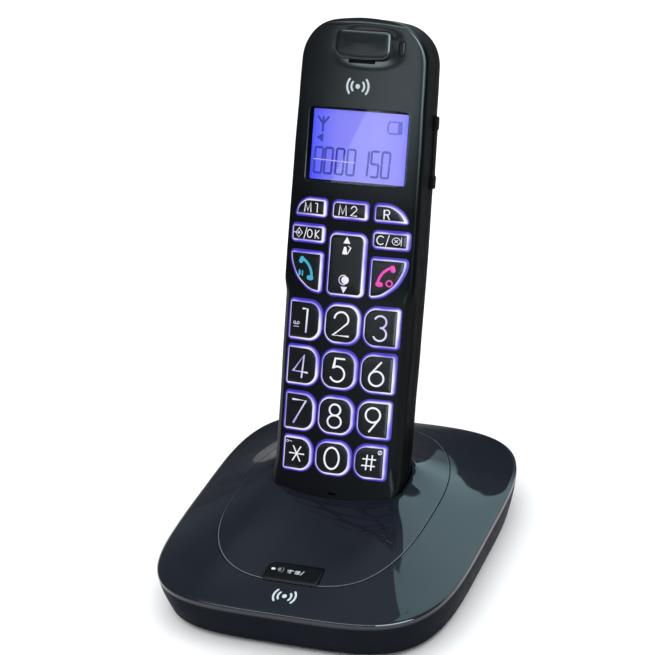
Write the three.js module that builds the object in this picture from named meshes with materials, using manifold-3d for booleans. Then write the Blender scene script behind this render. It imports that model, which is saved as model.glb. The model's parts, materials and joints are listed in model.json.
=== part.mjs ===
// A cordless telephone: a handset with large lit keys that stands in a square charging base.
// Millimetres, +Z up. The front of the phone faces -Y and +X is its right-hand side.
// The origin is under the middle of the whole object's box, on the surface it stands on.
import * as THREE from "three";
import { mergeVertices } from "three/addons/utils/BufferGeometryUtils.js";
import Module from "manifold-3d";

const wasm = await Module();
wasm.setup();

// ---------------------------------------------------------------- driving dimensions

const GAP = 0.3; // between pieces that lie against each other

const BASE = {
  rim: { halfWidth: 56.25, halfDepth: 66.3, z: 16.8 }, // the widest level of the base
  foot: { halfWidth: 51.8, halfDepth: 60.8, z: 1.4 }, // the lower edge of the side wall
  knee: { halfWidth: 53.4, halfDepth: 62.9, z: 3.0 }, // where the side wall turns under
  squareness: 4.16, // exponent of the outline: 2 is an ellipse, more is squarer
  wall: 2.2,
  steps: 48, // points in each ring
};

// The seam between the top cover and the cradle insert, in plan, and its height.
const SEAM = {
  halfWidth: 37.5,
  halfDepth: 53.5,
  centreY: 2,
  frontSquareness: 3.2,
  backSquareness: 2.05,
  sideZ: 25,
  frontDrop: 5,
  backDrop: 4,
  dropPower: 2.2,
  gap: 0.15, // each side of the seam
};

// The ring where the insert's surface turns down into the cradle pocket.
const MOUTH = {
  halfWidth: 25.6,
  halfDepth: 14.6,
  centreY: 5,
  squareness: 5,
  z: 29.4,
  backRise: 1.1,
  cornerRise: 1.7,
};

// The handset has its own frame: x across, y from its front to its back, z up along it.
const HANDSET = {
  lean: 0.41758, // radians, leaning back from upright
  frontY: -21.4, // where its front plane meets the table
  halfWidth: 24.6,
  endHalfWidth: 24,
  widestZ: 118,
  thickness: 24.5,
  bottom: 27,
  top: 201.3,
  crownTop: 202.1,
  crownRadius: 100, // of the front face, across the handset
  topCorner: 14.5,
  bottomCorner: 10,
  backCorner: 7.5,
  wall: 2.2,
  partingY: 12, // between the front and the rear cover
};

const WINDOW = { halfWidth: 19.1, low: 143.3, high: 170.2, corner: 1.5, sunk: 0.35, thickness: 1 };
const LCD = { halfWidth: 18.7, low: 143.7, high: 169.8, front: 3.5, thickness: 1.8 };

const KEY = {
  proud: 0.9,
  back: 3.2,
  clearance: 0.25, // round each key in its hole
  innerX: 7.9, // the outer columns start here
  middleHalfWidth: 6.8,
  sharp: 1, // corner radii
  soft: 4.6,
};

// Each row of number keys: its middle, its height and how far the outer keys reach.
const NUMBER_ROWS = [
  { z: 93.7, height: 14.4, reach: 20.9, names: ["key_1", "key_2", "key_3"] },
  { z: 77.3, height: 14.2, reach: 20.6, names: ["key_4", "key_5", "key_6"] },
  { z: 60.8, height: 13.8, reach: 20.2, names: ["key_7", "key_8", "key_9"] },
  { z: 45.5, height: 12.4, reach: 19.6, names: ["key_star", "key_0", "key_hash"] },
];

const MAT = { halfWidth: 20.4, low: 37.5, high: 139.5, front: 4.3, thickness: 1 };
const BOARD = { halfWidth: 20, low: 36.5, high: 176, front: 5.6, thickness: 1.2 };

const EARPIECE = { halfWidth: 13.6, low: 185.4, high: 199.2, corner: 5, floor: 1.3 };
const PAD = { halfWidth: 10.5, low: 187.3, high: 197.8, corner: 2.6, front: -0.2, thickness: 1.1 };
const SPEAKER = { z: 190.5, radius: 8.5, front: 4.2, thickness: 3.8 };
const RING_LENS = { x: 14.3, halfWidth: 1.1, low: 189.5, high: 194.7, front: 0.8, depth: 3 };
const MIC = { x: 0.6, z: 32.4, slotHalfWidth: 1.5, slotHalfHeight: 0.4, radius: 1.8, front: 3 };

const ROCKER = { low: 143.5, high: 169.3, front: 13.3, back: 18.1, proud: 0.8, depth: 3.6, dish: 0.5 };

const CELL = { radius: 5.25, length: 44.5, x: 5.9, y: 17.2, low: 69.4, tipRadius: 1.9, tip: 0.9 };
const WELL = { halfWidth: 12, low: 66.4, high: 117, front: 11.4, wall: 1.2 };
const DOOR = { halfWidth: 15, low: 64, high: 123.6, thickness: 1.2, corner: 2, trackLow: 50, lip: 0.3 };

const REAR_SPEAKER = { z: 151, radius: 12, back: 21.8, thickness: 5 };
const GRILLE = { slots: 5, pitch: 3.6, halfLength: 9, halfHeight: 0.8 };

const HANDSET_SCREW = { x: 17.6, z: 181, boss: 3.6, head: 2.6, shank: 1.2, headDepth: 3, length: 13 };
const CONTACT = { x: 8, halfWidth: 2.1, y: 16, halfDepth: 1, clearance: 0.3 };

const POCKET = { clearance: 0.6, wall: 2, floor: 26.4, deepTop: 44 };

const PAGE = { halfWidth: 10.2, front: -51.4, back: -43, corner: 2, proud: 0.8, low: 15, stem: 9 };
const PAGE_LED = { x: -7.6, y: -46.6, radius: 0.8, proud: 0.12 };

const BASE_BOARD = { halfWidth: 26, front: -54, back: 44, low: 5, thickness: 1.6 };
const BOTTOM = { low: 1.4, thickness: 2 };
const BASE_SCREW = { x: 39, y: 47, boss: 3.2, head: 2.8, shank: 1.2, headDepth: 1.1, length: 9 };
const FOOT = { x: 30, y: 47, radius: 5.5, recess: 0.6 };

const LINE_JACK = { left: 8, right: 24, front: 46.5, back: 61.6, low: 3.9, high: 14.6 };
const LINE_SOCKET = { halfWidth: 5, halfHeight: 3.6, depth: 12.5 };
const DC_JACK = { left: -22, right: -12, front: 48, back: 61.6, low: 4.2, high: 14 };
const DC_SOCKET = { radius: 3.2, pin: 1, depth: 9.5 };

// ---------------------------------------------------------------- outlines

const square = (value) => value * value;
const signedPower = (value, power) => Math.sign(value) * Math.abs(value) ** power;

// A polygon given as [x, y, corner radius], with its corners turned into arcs.
function rounded(corners, arcSteps = 4) {
  const outline = [];
  corners.forEach(([x, y, radius], i) => {
    const corner = new THREE.Vector2(x, y);
    if (!radius) {
      outline.push(corner);
      return;
    }
    const before = corners.at(i - 1);
    const after = corners[(i + 1) % corners.length];
    const toBefore = new THREE.Vector2(before[0], before[1]).sub(corner).normalize();
    const toAfter = new THREE.Vector2(after[0], after[1]).sub(corner).normalize();
    const half = Math.acos(THREE.MathUtils.clamp(toBefore.dot(toAfter), -1, 1)) / 2;
    const start = corner.clone().addScaledVector(toBefore, radius / Math.tan(half));
    const end = corner.clone().addScaledVector(toAfter, radius / Math.tan(half));
    const towards = toBefore.clone().add(toAfter).normalize();
    const centre = corner.clone().addScaledVector(towards, radius / Math.sin(half));
    const from = start.clone().sub(centre).angle();
    let turn = end.clone().sub(centre).angle() - from;
    turn -= Math.round(turn / (2 * Math.PI)) * 2 * Math.PI;
    for (let k = 0; k <= arcSteps; k++) {
      const angle = from + (turn * k) / arcSteps;
      outline.push(new THREE.Vector2(Math.cos(angle), Math.sin(angle)).multiplyScalar(radius).add(centre));
    }
  });
  return outline;
}

function rectangle(left, right, low, high, radius = 0) {
  return rounded([[left, low, radius], [right, low, radius], [right, high, radius], [left, high, radius]]);
}

function circle(x, y, radius, steps = 16) {
  return Array.from({ length: steps }, (_, i) => {
    const angle = (2 * Math.PI * i) / steps;
    return new THREE.Vector2(x + radius * Math.cos(angle), y + radius * Math.sin(angle));
  });
}

// The same outline moved outwards all round. It is given anticlockwise.
function grown(outline, distance) {
  const count = outline.length;
  return outline.map((point, i) => {
    const normalOf = (a, b) => new THREE.Vector2(b.y - a.y, a.x - b.x).normalize();
    const before = normalOf(outline[(i + count - 1) % count], point);
    const after = normalOf(point, outline[(i + 1) % count]);
    const miter = before.clone().add(after).divideScalar(1 + before.dot(after));
    return point.clone().addScaledVector(miter, distance);
  });
}

const mirrored = (outline) => outline.map((point) => new THREE.Vector2(-point.x, point.y)).reverse();

// ---------------------------------------------------------------- solids

function solidFrom(geometry) {
  const bare = geometry.clone();
  bare.deleteAttribute("normal");
  bare.deleteAttribute("uv");
  const merged = mergeVertices(bare, 1e-4);
  return new wasm.Manifold(new wasm.Mesh({
    numProp: 3,
    vertProperties: merged.attributes.position.array,
    triVerts: new Uint32Array(merged.index.array),
  }));
}

function geometryFrom(solid) {
  const mesh = solid.getMesh();
  const geometry = new THREE.BufferGeometry();
  geometry.setAttribute("position", new THREE.BufferAttribute(mesh.vertProperties, 3));
  geometry.setIndex(new THREE.BufferAttribute(mesh.triVerts, 1));
  const faceted = geometry.toNonIndexed();
  faceted.computeVertexNormals();
  return faceted;
}

const extruded = (outline, depth) =>
  new THREE.ExtrudeGeometry(new THREE.Shape(outline), { depth, bevelEnabled: false });

// An outline in X and Y, standing from one height to another.
const upright = (outline, low, high) => solidFrom(extruded(outline, high - low).translate(0, 0, low));

// An outline in X and Z, running from a front Y to a back Y.
const facing = (outline, front, back) =>
  solidFrom(extruded(outline, back - front).rotateX(Math.PI / 2).translate(0, back, 0));

// An outline in Y and Z, running from a left X to a right X.
function sideways(outline, left, right) {
  const turned = new THREE.Matrix4().makeBasis(
    new THREE.Vector3(0, 1, 0),
    new THREE.Vector3(0, 0, 1),
    new THREE.Vector3(1, 0, 0),
  );
  return solidFrom(extruded(outline, right - left).applyMatrix4(turned).translate(left, 0, 0));
}

function block(left, right, front, back, low, high) {
  return upright(rectangle(left, right, front, back), low, high);
}

// A closed skin through rings of equally many points, from the lowest ring to the highest.
function skin(rings) {
  const count = rings[0].length;
  const points = rings.flat();
  const faces = [];
  for (let r = 0; r + 1 < rings.length; r++) {
    for (let i = 0; i < count; i++) {
      const a = r * count + i;
      const b = r * count + ((i + 1) % count);
      faces.push(a, b, b + count, a, b + count, a + count);
    }
  }
  const middleOf = (ring) => ring.reduce((sum, p) => sum.add(p), new THREE.Vector3()).divideScalar(count);
  points.push(middleOf(rings[0]), middleOf(rings.at(-1)));
  const topStart = (rings.length - 1) * count;
  for (let i = 0; i < count; i++) {
    const next = (i + 1) % count;
    faces.push(points.length - 2, next, i);
    faces.push(points.length - 1, topStart + i, topStart + next);
  }
  const geometry = new THREE.BufferGeometry().setFromPoints(points);
  geometry.setIndex(faces);
  return solidFrom(geometry);
}

const joined = (first, ...others) => others.reduce((solid, other) => solid.add(other), first);
const cut = (first, ...tools) => tools.reduce((solid, tool) => solid.subtract(tool), first);
const shared = (first, ...others) => others.reduce((solid, other) => solid.intersect(other), first);

// ---------------------------------------------------------------- materials

const COLOURS = {
  handset: { color: 0x14171b, roughness: 0.3 },
  base: { color: 0x1e252b, roughness: 0.32 },
  key: { color: 0x9a95d8, roughness: 0.35 },
  window: { color: 0x6a62e8, roughness: 0.06 },
  display: { color: 0x7a6cf4, roughness: 0.4 },
  clear: { color: 0xd8dcf0, roughness: 0.15 },
  rubber: { color: 0x1a1a1a, roughness: 0.85 },
  mat: { color: 0xb9bcc4, roughness: 0.7 },
  board: { color: 0x1c5a34, roughness: 0.55 },
  metal: { color: 0xc8c4b6, roughness: 0.3, metalness: 1 },
  steel: { color: 0x9a9da2, roughness: 0.35, metalness: 1 },
  cell: { color: 0x3f7a4a, roughness: 0.4 },
  speaker: { color: 0x2a2c30, roughness: 0.6 },
  socket: { color: 0x101214, roughness: 0.5 },
};

function part(name, finish, solid) {
  const mesh = new THREE.Mesh(geometryFrom(solid), new THREE.MeshStandardMaterial(COLOURS[finish]));
  mesh.name = name;
  return mesh;
}

// ---------------------------------------------------------------- base surfaces

function superellipsePoint(angle, halfWidth, halfDepth, exponent, centreY, z) {
  const x = halfWidth * signedPower(Math.cos(angle), 2 / exponent);
  const y = centreY + halfDepth * signedPower(Math.sin(angle), 2 / exponent);
  return new THREE.Vector3(x, y, z);
}

const ringAngles = Array.from({ length: BASE.steps }, (_, i) => (2 * Math.PI * (i + 0.5)) / BASE.steps);

const levelPoint = (angle, level, inset) =>
  superellipsePoint(angle, level.halfWidth - inset, level.halfDepth - inset, BASE.squareness, 0, level.z);

function seamPoint(angle, inset) {
  const isFront = Math.sin(angle) < 0;
  const exponent = isFront ? SEAM.frontSquareness : SEAM.backSquareness;
  const drop = (isFront ? SEAM.frontDrop : SEAM.backDrop) * Math.abs(Math.sin(angle)) ** SEAM.dropPower;
  const halfWidth = SEAM.halfWidth - inset;
  return superellipsePoint(
    angle, halfWidth, SEAM.halfDepth - inset, exponent, SEAM.centreY, SEAM.sideZ - drop,
  );
}

function mouthPoint(angle, inset) {
  const z = MOUTH.z + MOUTH.backRise * Math.sin(angle) + MOUTH.cornerRise * square(Math.sin(2 * angle));
  return superellipsePoint(
    angle, MOUTH.halfWidth - inset, MOUTH.halfDepth - inset, MOUTH.squareness, MOUTH.centreY, z,
  );
}

// The base's outer form, from its lower edge over the rim and up to the mouth of the cradle. Its top
// runs through the rim, the seam and the mouth on one smooth curve. An inset shrinks it all round.
function baseForm(inset, lowZ) {
  const rings = [];
  const addRing = (pointAt) => rings.push(ringAngles.map(pointAt));
  addRing((angle) => levelPoint(angle, BASE.foot, inset).setZ(lowZ));
  addRing((angle) => levelPoint(angle, BASE.knee, inset));
  addRing((angle) => levelPoint(angle, BASE.rim, inset).setZ(BASE.rim.z - inset));
  const along = [1 / 6, 1 / 3, 1 / 2, 2 / 3, 5 / 6, 1];
  for (const share of along) {
    addRing((angle) => {
      const rim = levelPoint(angle, BASE.rim, inset);
      const seam = seamPoint(angle, inset);
      const mouth = mouthPoint(angle, inset);
      const outer = rim.distanceTo(seam);
      const middle = outer / (outer + seam.distanceTo(mouth));
      const s = share <= 1 / 3 ? share * 3 * middle : middle + (1 - middle) * (share * 1.5 - 0.5);
      const point = new THREE.Vector3();
      point.addScaledVector(rim, ((s - middle) * (s - 1)) / middle);
      point.addScaledVector(seam, (s * (s - 1)) / (middle * (middle - 1)));
      point.addScaledVector(mouth, (s * (s - middle)) / (1 - middle));
      return point.setZ(point.z - inset);
    });
  }
  return skin(rings);
}

function seamPrism(offset) {
  const outline = ringAngles.map((angle) => {
    const point = seamPoint(angle, 0);
    return new THREE.Vector2(point.x, point.y);
  });
  return upright(grown(outline, offset), 10, 60);
}

// ---------------------------------------------------------------- handset surfaces

const crown = (x) => square(x) / (2 * HANDSET.crownRadius);

// The handset's section across its length: a crowned front, straight sides and a rounded back.
function handsetSection(inset) {
  const side = HANDSET.halfWidth - inset;
  const frontSteps = 10;
  const frontEdge = side - 1.4;
  const front = Array.from({ length: frontSteps + 1 }, (_, i) => {
    const x = -frontEdge + (2 * frontEdge * i) / frontSteps;
    return new THREE.Vector2(x, crown(x) + inset);
  });
  const radius = HANDSET.backCorner - inset / 2;
  const back = HANDSET.thickness - inset;
  const rightCorner = rounded([[side, 8, 0], [side, back, radius], [0, back, 0]]).slice(1, -1);
  const shoulder = new THREE.Vector2(side, crown(side) + inset + 1.6);
  const half = [shoulder, ...rightCorner];
  return [...front, ...half, ...mirrored(half)];
}

function handsetOutline(inset) {
  const end = HANDSET.endHalfWidth - inset;
  const widest = HANDSET.halfWidth - inset;
  const bottom = HANDSET.bottom + inset;
  const top = HANDSET.top - inset;
  return rounded([
    [-end, bottom, HANDSET.bottomCorner - inset],
    [end, bottom, HANDSET.bottomCorner - inset],
    [widest, HANDSET.widestZ, 0],
    [end, top, HANDSET.topCorner - inset],
    [0, HANDSET.crownTop - inset, 0],
    [-end, top, HANDSET.topCorner - inset],
    [-widest, HANDSET.widestZ, 0],
  ], 6);
}

function handsetProfile(inset) {
  const back = HANDSET.thickness - inset;
  const bottom = HANDSET.bottom + inset;
  const top = HANDSET.crownTop - inset;
  const front = inset - 0.01;
  return rounded([[front, bottom, 1.6], [back, bottom, 4], [back, top, 8 - inset], [front, top, 2.6]]);
}

function handsetForm(inset) {
  const reach = 60;
  return shared(
    upright(handsetSection(inset), HANDSET.bottom - 5, HANDSET.crownTop + 5),
    facing(handsetOutline(inset), -reach, reach),
    sideways(handsetProfile(inset), -reach, reach),
  );
}

// Everything behind a surface that lies a little in front of, or behind, the crowned front face.
function crownedSlab(offset, back, halfWidth) {
  const steps = 14;
  const arc = Array.from({ length: steps + 1 }, (_, i) => {
    const x = -halfWidth + (2 * halfWidth * i) / steps;
    return new THREE.Vector2(x, crown(x) + offset);
  });
  const outline = [...arc, new THREE.Vector2(halfWidth, back), new THREE.Vector2(-halfWidth, back)];
  return upright(outline, HANDSET.bottom, HANDSET.crownTop);
}

// The turn and the place of the handset's frame in the phone.
const handsetPlace = new THREE.Matrix4()
  .makeRotationX(-HANDSET.lean)
  .premultiply(new THREE.Matrix4().makeTranslation(0, HANDSET.frontY, 0));

const inHandsetPlace = (solid) => solidFrom(geometryFrom(solid).applyMatrix4(handsetPlace));

// ---------------------------------------------------------------- keys

function numberKeyOutlines() {
  const outlines = {};
  const { sharp, soft, innerX, middleHalfWidth } = KEY;
  for (const { z, height, reach, names } of NUMBER_ROWS) {
    const low = z - height / 2;
    const high = z + height / 2;
    const right = rounded([
      [innerX, low, soft], [reach, low, sharp], [reach, high, sharp], [innerX, high, soft],
    ]);
    outlines[names[0]] = mirrored(right);
    outlines[names[1]] = rectangle(-middleHalfWidth, middleHalfWidth, low, high, soft);
    outlines[names[2]] = right;
  }
  return outlines;
}

function functionKeyOutlines() {
  const arch = rounded([
    [9, 131, 1], [21.7, 131, 0.6], [19.9, 134.8, 3], [15.4, 137.4, 4], [9, 137.4, 1],
  ]);
  const corner = rounded([
    [9, 103.6, 1.2], [13.6, 104.2, 4], [19, 108.4, 6], [22, 114.6, 5], [22, 118.4, 1], [9, 118.4, 1],
  ]);
  const bar = rectangle(9, 22.2, 121.6, 127.9, 1.2);
  return {
    key_m1: mirrored(arch),
    key_m2: rectangle(-6.7, 6.7, 131, 137.4, 1.2),
    key_r: arch,
    key_ok: mirrored(bar),
    key_clear: bar,
    key_talk: mirrored(corner),
    key_end: corner,
    key_navigation: rectangle(-7, 7, 103.6, 126.2, 2.6),
  };
}

const keyOutlines = { ...functionKeyOutlines(), ...numberKeyOutlines() };

function keys() {
  const slab = crownedSlab(-KEY.proud, KEY.back, HANDSET.halfWidth);
  return Object.entries(keyOutlines).map(([name, outline]) =>
    part(name, "key", shared(facing(outline, -5, KEY.back), slab)));
}

// ---------------------------------------------------------------- handset pieces

const windowOutline = (inset) =>
  rectangle(
    inset - WINDOW.halfWidth, WINDOW.halfWidth - inset, WINDOW.low + inset, WINDOW.high - inset, WINDOW.corner,
  );

const lensOutline = (offset) =>
  rectangle(
    RING_LENS.x - RING_LENS.halfWidth - offset, RING_LENS.x + RING_LENS.halfWidth + offset,
    RING_LENS.low - offset, RING_LENS.high + offset, 0.9,
  );

function frontCover() {
  const shell = shared(
    cut(handsetForm(0), handsetForm(HANDSET.wall)),
    block(-40, 40, -5, HANDSET.partingY - GAP / 2, 0, 260),
  );
  const posts = [-1, 1].map((side) =>
    facing(circle(side * HANDSET_SCREW.x, HANDSET_SCREW.z, HANDSET_SCREW.boss, 12), 2.5, HANDSET.partingY - GAP / 2));
  const pilots = [-1, 1].map((side) =>
    facing(circle(side * HANDSET_SCREW.x, HANDSET_SCREW.z, HANDSET_SCREW.shank + GAP, 10), 5, 20));
  const keyHoles = Object.values(keyOutlines).map((outline) => facing(grown(outline, KEY.clearance), -5, 8));
  const windowHole = facing(windowOutline(0), -5, 8);
  const { halfWidth, low, high, corner, floor } = EARPIECE;
  const earRecess = facing(rectangle(-halfWidth, halfWidth, low, high, corner), -5, floor);
  const earSlot = facing(rectangle(-5, 5, 186.2, 187, 0.3), -5, 8);
  const lensHole = facing(lensOutline(0.25), -5, 8);
  const { x, z, slotHalfWidth, slotHalfHeight } = MIC;
  const micSlot = facing(
    rectangle(x - slotHalfWidth, x + slotHalfWidth, z - slotHalfHeight, z + slotHalfHeight, 0.35), -5, 8,
  );
  const holes = [...keyHoles, windowHole, earRecess, earSlot, lensHole, micSlot, ...pilots];
  return part("handset_front_cover", "handset", cut(joined(shell, ...posts), ...holes));
}

function rearCover() {
  const { thickness, wall, partingY } = HANDSET;
  const behindParting = block(-40, 40, partingY + GAP / 2, 40, 0, 260);
  const shell = shared(cut(handsetForm(0), handsetForm(wall)), behindParting);
  const innerBack = thickness - wall;
  const tub = block(
    -WELL.halfWidth - WELL.wall, WELL.halfWidth + WELL.wall, WELL.front - WELL.wall, innerBack + 0.4,
    WELL.low - WELL.wall, WELL.high + WELL.wall,
  );
  const well = block(-WELL.halfWidth, WELL.halfWidth, WELL.front, 40, WELL.low, WELL.high);
  const trackFloor = thickness - DOOR.thickness - DOOR.lip;
  const track = facing(
    rectangle(-DOOR.halfWidth - DOOR.lip, DOOR.halfWidth + DOOR.lip, DOOR.trackLow, DOOR.high + DOOR.lip, 2),
    trackFloor, 40,
  );
  const grille = Array.from({ length: GRILLE.slots }, (_, i) => {
    const z = REAR_SPEAKER.z + (i - (GRILLE.slots - 1) / 2) * GRILLE.pitch;
    const { halfLength, halfHeight } = GRILLE;
    return facing(rectangle(-halfLength, halfLength, z - halfHeight, z + halfHeight, 0.7), 20, 40);
  });
  const { x, z, boss, shank, head, headDepth } = HANDSET_SCREW;
  const bosses = [-1, 1].map((side) =>
    facing(circle(side * x, z, boss, 12), partingY + GAP / 2, innerBack + 0.4));
  const screwHoles = [-1, 1].flatMap((side) => [
    facing(circle(side * x, z, shank + GAP, 10), 0, 40),
    facing(circle(side * x, z, head + GAP, 14), thickness - headDepth, 40),
  ]);
  const contactSlots = [-1, 1].map((side) => {
    const halfWidth = CONTACT.halfWidth + CONTACT.clearance;
    const halfDepth = CONTACT.halfDepth + CONTACT.clearance;
    return block(
      side * CONTACT.x - halfWidth, side * CONTACT.x + halfWidth,
      CONTACT.y - halfDepth, CONTACT.y + halfDepth, HANDSET.bottom - 2, HANDSET.bottom + 6,
    );
  });
  const rockerHole = sideways(
    rectangle(ROCKER.front - 0.35, ROCKER.back + 0.35, ROCKER.low - 0.35, ROCKER.high + 0.35), 15, 40,
  );
  const openings = [well, track, ...grille, ...screwHoles, ...contactSlots, rockerHole];
  return part("handset_rear_cover", "handset", cut(joined(shell, tub, ...bosses), ...openings));
}

function displayPieces() {
  const pane = cut(
    shared(facing(windowOutline(0.2), -5, 8), crownedSlab(WINDOW.sunk, 7.5, 22)),
    crownedSlab(WINDOW.sunk + WINDOW.thickness, 8, 22),
  );
  const lcd = block(
    -LCD.halfWidth, LCD.halfWidth, LCD.front, LCD.front + LCD.thickness, LCD.low, LCD.high,
  );
  return [part("display_window", "window", pane), part("lcd_module", "display", lcd)];
}

function earpiecePieces() {
  const { halfWidth, low, high, corner, front, thickness } = PAD;
  const padOutline = rectangle(-halfWidth, halfWidth, low, high, corner);
  const pad = facing(padOutline, front, front + thickness);
  const speaker = facing(circle(0, SPEAKER.z, SPEAKER.radius, 20), SPEAKER.front, SPEAKER.front + SPEAKER.thickness);
  const lens = facing(lensOutline(0), RING_LENS.front, RING_LENS.front + RING_LENS.depth);
  const microphone = facing(circle(MIC.x, MIC.z + 0.8, MIC.radius, 12), MIC.front, MIC.front + 2.2);
  return [
    part("earpiece_pad", "handset", pad),
    part("earpiece_speaker", "speaker", speaker),
    part("ring_led_lens", "clear", lens),
    part("microphone", "metal", microphone),
  ];
}

function electronics() {
  const mat = block(
    -MAT.halfWidth, MAT.halfWidth, MAT.front, MAT.front + MAT.thickness, MAT.low, MAT.high,
  );
  const board = block(
    -BOARD.halfWidth, BOARD.halfWidth, BOARD.front, BOARD.front + BOARD.thickness, BOARD.low, BOARD.high,
  );
  const { z, radius, back, thickness } = REAR_SPEAKER;
  const rearSpeaker = joined(
    facing(circle(0, z, radius, 24), back - thickness / 2, back),
    facing(circle(0, z, radius * 0.55, 16), back - thickness, back - thickness / 3),
  );
  return [
    part("keypad_mat", "mat", mat),
    part("handset_circuit_board", "board", board),
    part("handsfree_speaker", "speaker", rearSpeaker),
  ];
}

// A bar on the right-hand side, dished between its two ends, that rocks about its middle.
function volumeRocker() {
  const outer = HANDSET.halfWidth + ROCKER.proud;
  const end = 4;
  const bar = facing(rounded([
    [outer - ROCKER.depth, ROCKER.low, 0],
    [outer, ROCKER.low, 0.8],
    [outer, ROCKER.low + end, 0],
    [outer - ROCKER.dish, ROCKER.low + end + 1, 0],
    [outer - ROCKER.dish, ROCKER.high - end - 1, 0],
    [outer, ROCKER.high - end, 0],
    [outer, ROCKER.high, 0.8],
    [outer - ROCKER.depth, ROCKER.high, 0],
  ]), ROCKER.front, ROCKER.back);
  return part("volume_rocker", "handset", bar);
}

function batteryCell(index) {
  const side = index === 1 ? -1 : 1;
  const { radius, length, tip, tipRadius } = CELL;
  const profile = [
    [0, 0], [radius - 0.4, 0], [radius, 0.4], [radius, length - tip - 0.4], [radius - 0.4, length - tip],
    [tipRadius, length - tip], [tipRadius, length], [0, length],
  ].map(([r, z]) => new THREE.Vector2(r, z));
  const cell = new THREE.LatheGeometry(profile, 18).rotateX(Math.PI / 2);
  if (side > 0) cell.rotateX(Math.PI).translate(0, 0, length);
  const solid = solidFrom(cell.translate(side * CELL.x, CELL.y, CELL.low));
  return part(`battery_cell_${index}`, "cell", solid);
}

function batteryContacts() {
  const halfWidth = WELL.halfWidth - GAP;
  const front = WELL.front + GAP;
  const plate = (low) => block(-halfWidth, halfWidth, front, 21.5, low, low + 0.5);
  const springLow = WELL.low + GAP;
  const cones = [-1, 1].map((side) => {
    const points = [[0, 0.3], [4, 0.3], [2.4, 2.2], [0, 2.2]].map(([r, z]) => new THREE.Vector2(r, z));
    const cone = new THREE.LatheGeometry(points, 12).rotateX(Math.PI / 2);
    return solidFrom(cone.translate(side * CELL.x, CELL.y, springLow));
  });
  return [
    part("battery_spring_contact", "metal", joined(plate(springLow), ...cones)),
    part("battery_flat_contact", "metal", plate(WELL.high - GAP - 0.5)),
  ];
}

function batteryCover() {
  const { thickness } = HANDSET;
  const outline = rectangle(-DOOR.halfWidth, DOOR.halfWidth, DOOR.low, DOOR.high, DOOR.corner);
  const plate = facing(outline, thickness - DOOR.thickness, thickness);
  const thumbRecess = facing(circle(0, DOOR.low + 8, 5, 16), thickness - 0.5, thickness + 2);
  return part("battery_cover", "handset", cut(plate, thumbRecess));
}

// A countersunk screw standing head down at the origin.
function screw(head, headDepth, shank, length) {
  const points = [[0, 0], [head, 0], [head, headDepth * 0.4], [shank, headDepth], [shank, length], [0, length]];
  const body = solidFrom(new THREE.LatheGeometry(points.map(([r, z]) => new THREE.Vector2(r, z)), 14).rotateX(Math.PI / 2));
  const slotHalf = 0.35;
  const slots = [
    block(-head * 0.6, head * 0.6, -slotHalf, slotHalf, -1, 0.5),
    block(-slotHalf, slotHalf, -head * 0.6, head * 0.6, -1, 0.5),
  ];
  return cut(body, ...slots);
}

function handsetScrews() {
  return [["left", -1], ["right", 1]].map(([name, side]) => {
    const { head, shank, length, headDepth, x, z } = HANDSET_SCREW;
    const body = geometryFrom(screw(head, 1.4, shank, length));
    body.rotateX(Math.PI / 2).translate(side * x, HANDSET.thickness - headDepth + 1.7, z);
    return part(`handset_screw_${name}`, "steel", solidFrom(body));
  });
}

function handsetChargeContacts() {
  return [["left", -1], ["right", 1]].map(([name, side]) => {
    const { x, halfWidth, y, halfDepth } = CONTACT;
    const blade = block(side * x - halfWidth, side * x + halfWidth, y - halfDepth, y + halfDepth, 27, 31.5);
    return part(`handset_charge_contact_${name}`, "metal", blade);
  });
}

// ---------------------------------------------------------------- base pieces

const outerForm = baseForm(0, BASE.foot.z);
const innerForm = baseForm(BASE.wall, -5);
const raisedForm = baseForm(-PAGE.proud, BASE.foot.z);

const pageOutline = (offset) =>
  rectangle(
    -PAGE.halfWidth - offset, PAGE.halfWidth + offset, PAGE.front - offset, PAGE.back + offset,
    PAGE.corner + offset,
  );

const corners = [["front_left", -1, -1], ["front_right", 1, -1], ["rear_left", -1, 1], ["rear_right", 1, 1]];

function jackWindow(jack) {
  return block(jack.left - 0.4, jack.right + 0.4, 50, 80, jack.low - 0.4, jack.high + 0.4);
}

function baseTopCover() {
  const bossLow = BOTTOM.low + BOTTOM.thickness + GAP;
  const bosses = corners.map(([, sideX, sideY]) =>
    shared(upright(circle(sideX * BASE_SCREW.x, sideY * BASE_SCREW.y, BASE_SCREW.boss, 12), bossLow, 40), outerForm));
  const pilots = corners.map(([, sideX, sideY]) =>
    upright(circle(sideX * BASE_SCREW.x, sideY * BASE_SCREW.y, BASE_SCREW.shank + GAP, 10), 0, 13));
  const shell = cut(outerForm, innerForm);
  const openings = [
    seamPrism(SEAM.gap),
    upright(pageOutline(GAP), 10, 40),
    jackWindow(LINE_JACK),
    jackWindow(DC_JACK),
  ];
  return part("base_top_cover", "base", cut(joined(shell, ...bosses), ...pilots, ...openings));
}

// The oval panel that holds the pocket in which the handset stands.
function cradleInsert() {
  const panel = shared(cut(outerForm, innerForm), seamPrism(-SEAM.gap));
  const { clearance, wall, floor, deepTop } = POCKET;
  const section = handsetSection(0);
  const cup = inHandsetPlace(upright(grown(section, clearance + wall), floor - wall, deepTop));
  const hollow = inHandsetPlace(upright(grown(section, clearance), floor, 120));
  const slots = [-1, 1].map((side) => {
    const halfWidth = CONTACT.halfWidth + CONTACT.clearance;
    const halfDepth = CONTACT.halfDepth + CONTACT.clearance;
    return inHandsetPlace(block(
      side * CONTACT.x - halfWidth, side * CONTACT.x + halfWidth,
      CONTACT.y - halfDepth, CONTACT.y + halfDepth, floor - 6, floor + 3,
    ));
  });
  const pageHole = upright(pageOutline(GAP), 10, 40);
  const body = joined(panel, shared(cup, outerForm));
  return part("cradle_insert", "base", cut(body, hollow, ...slots, pageHole));
}

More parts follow.
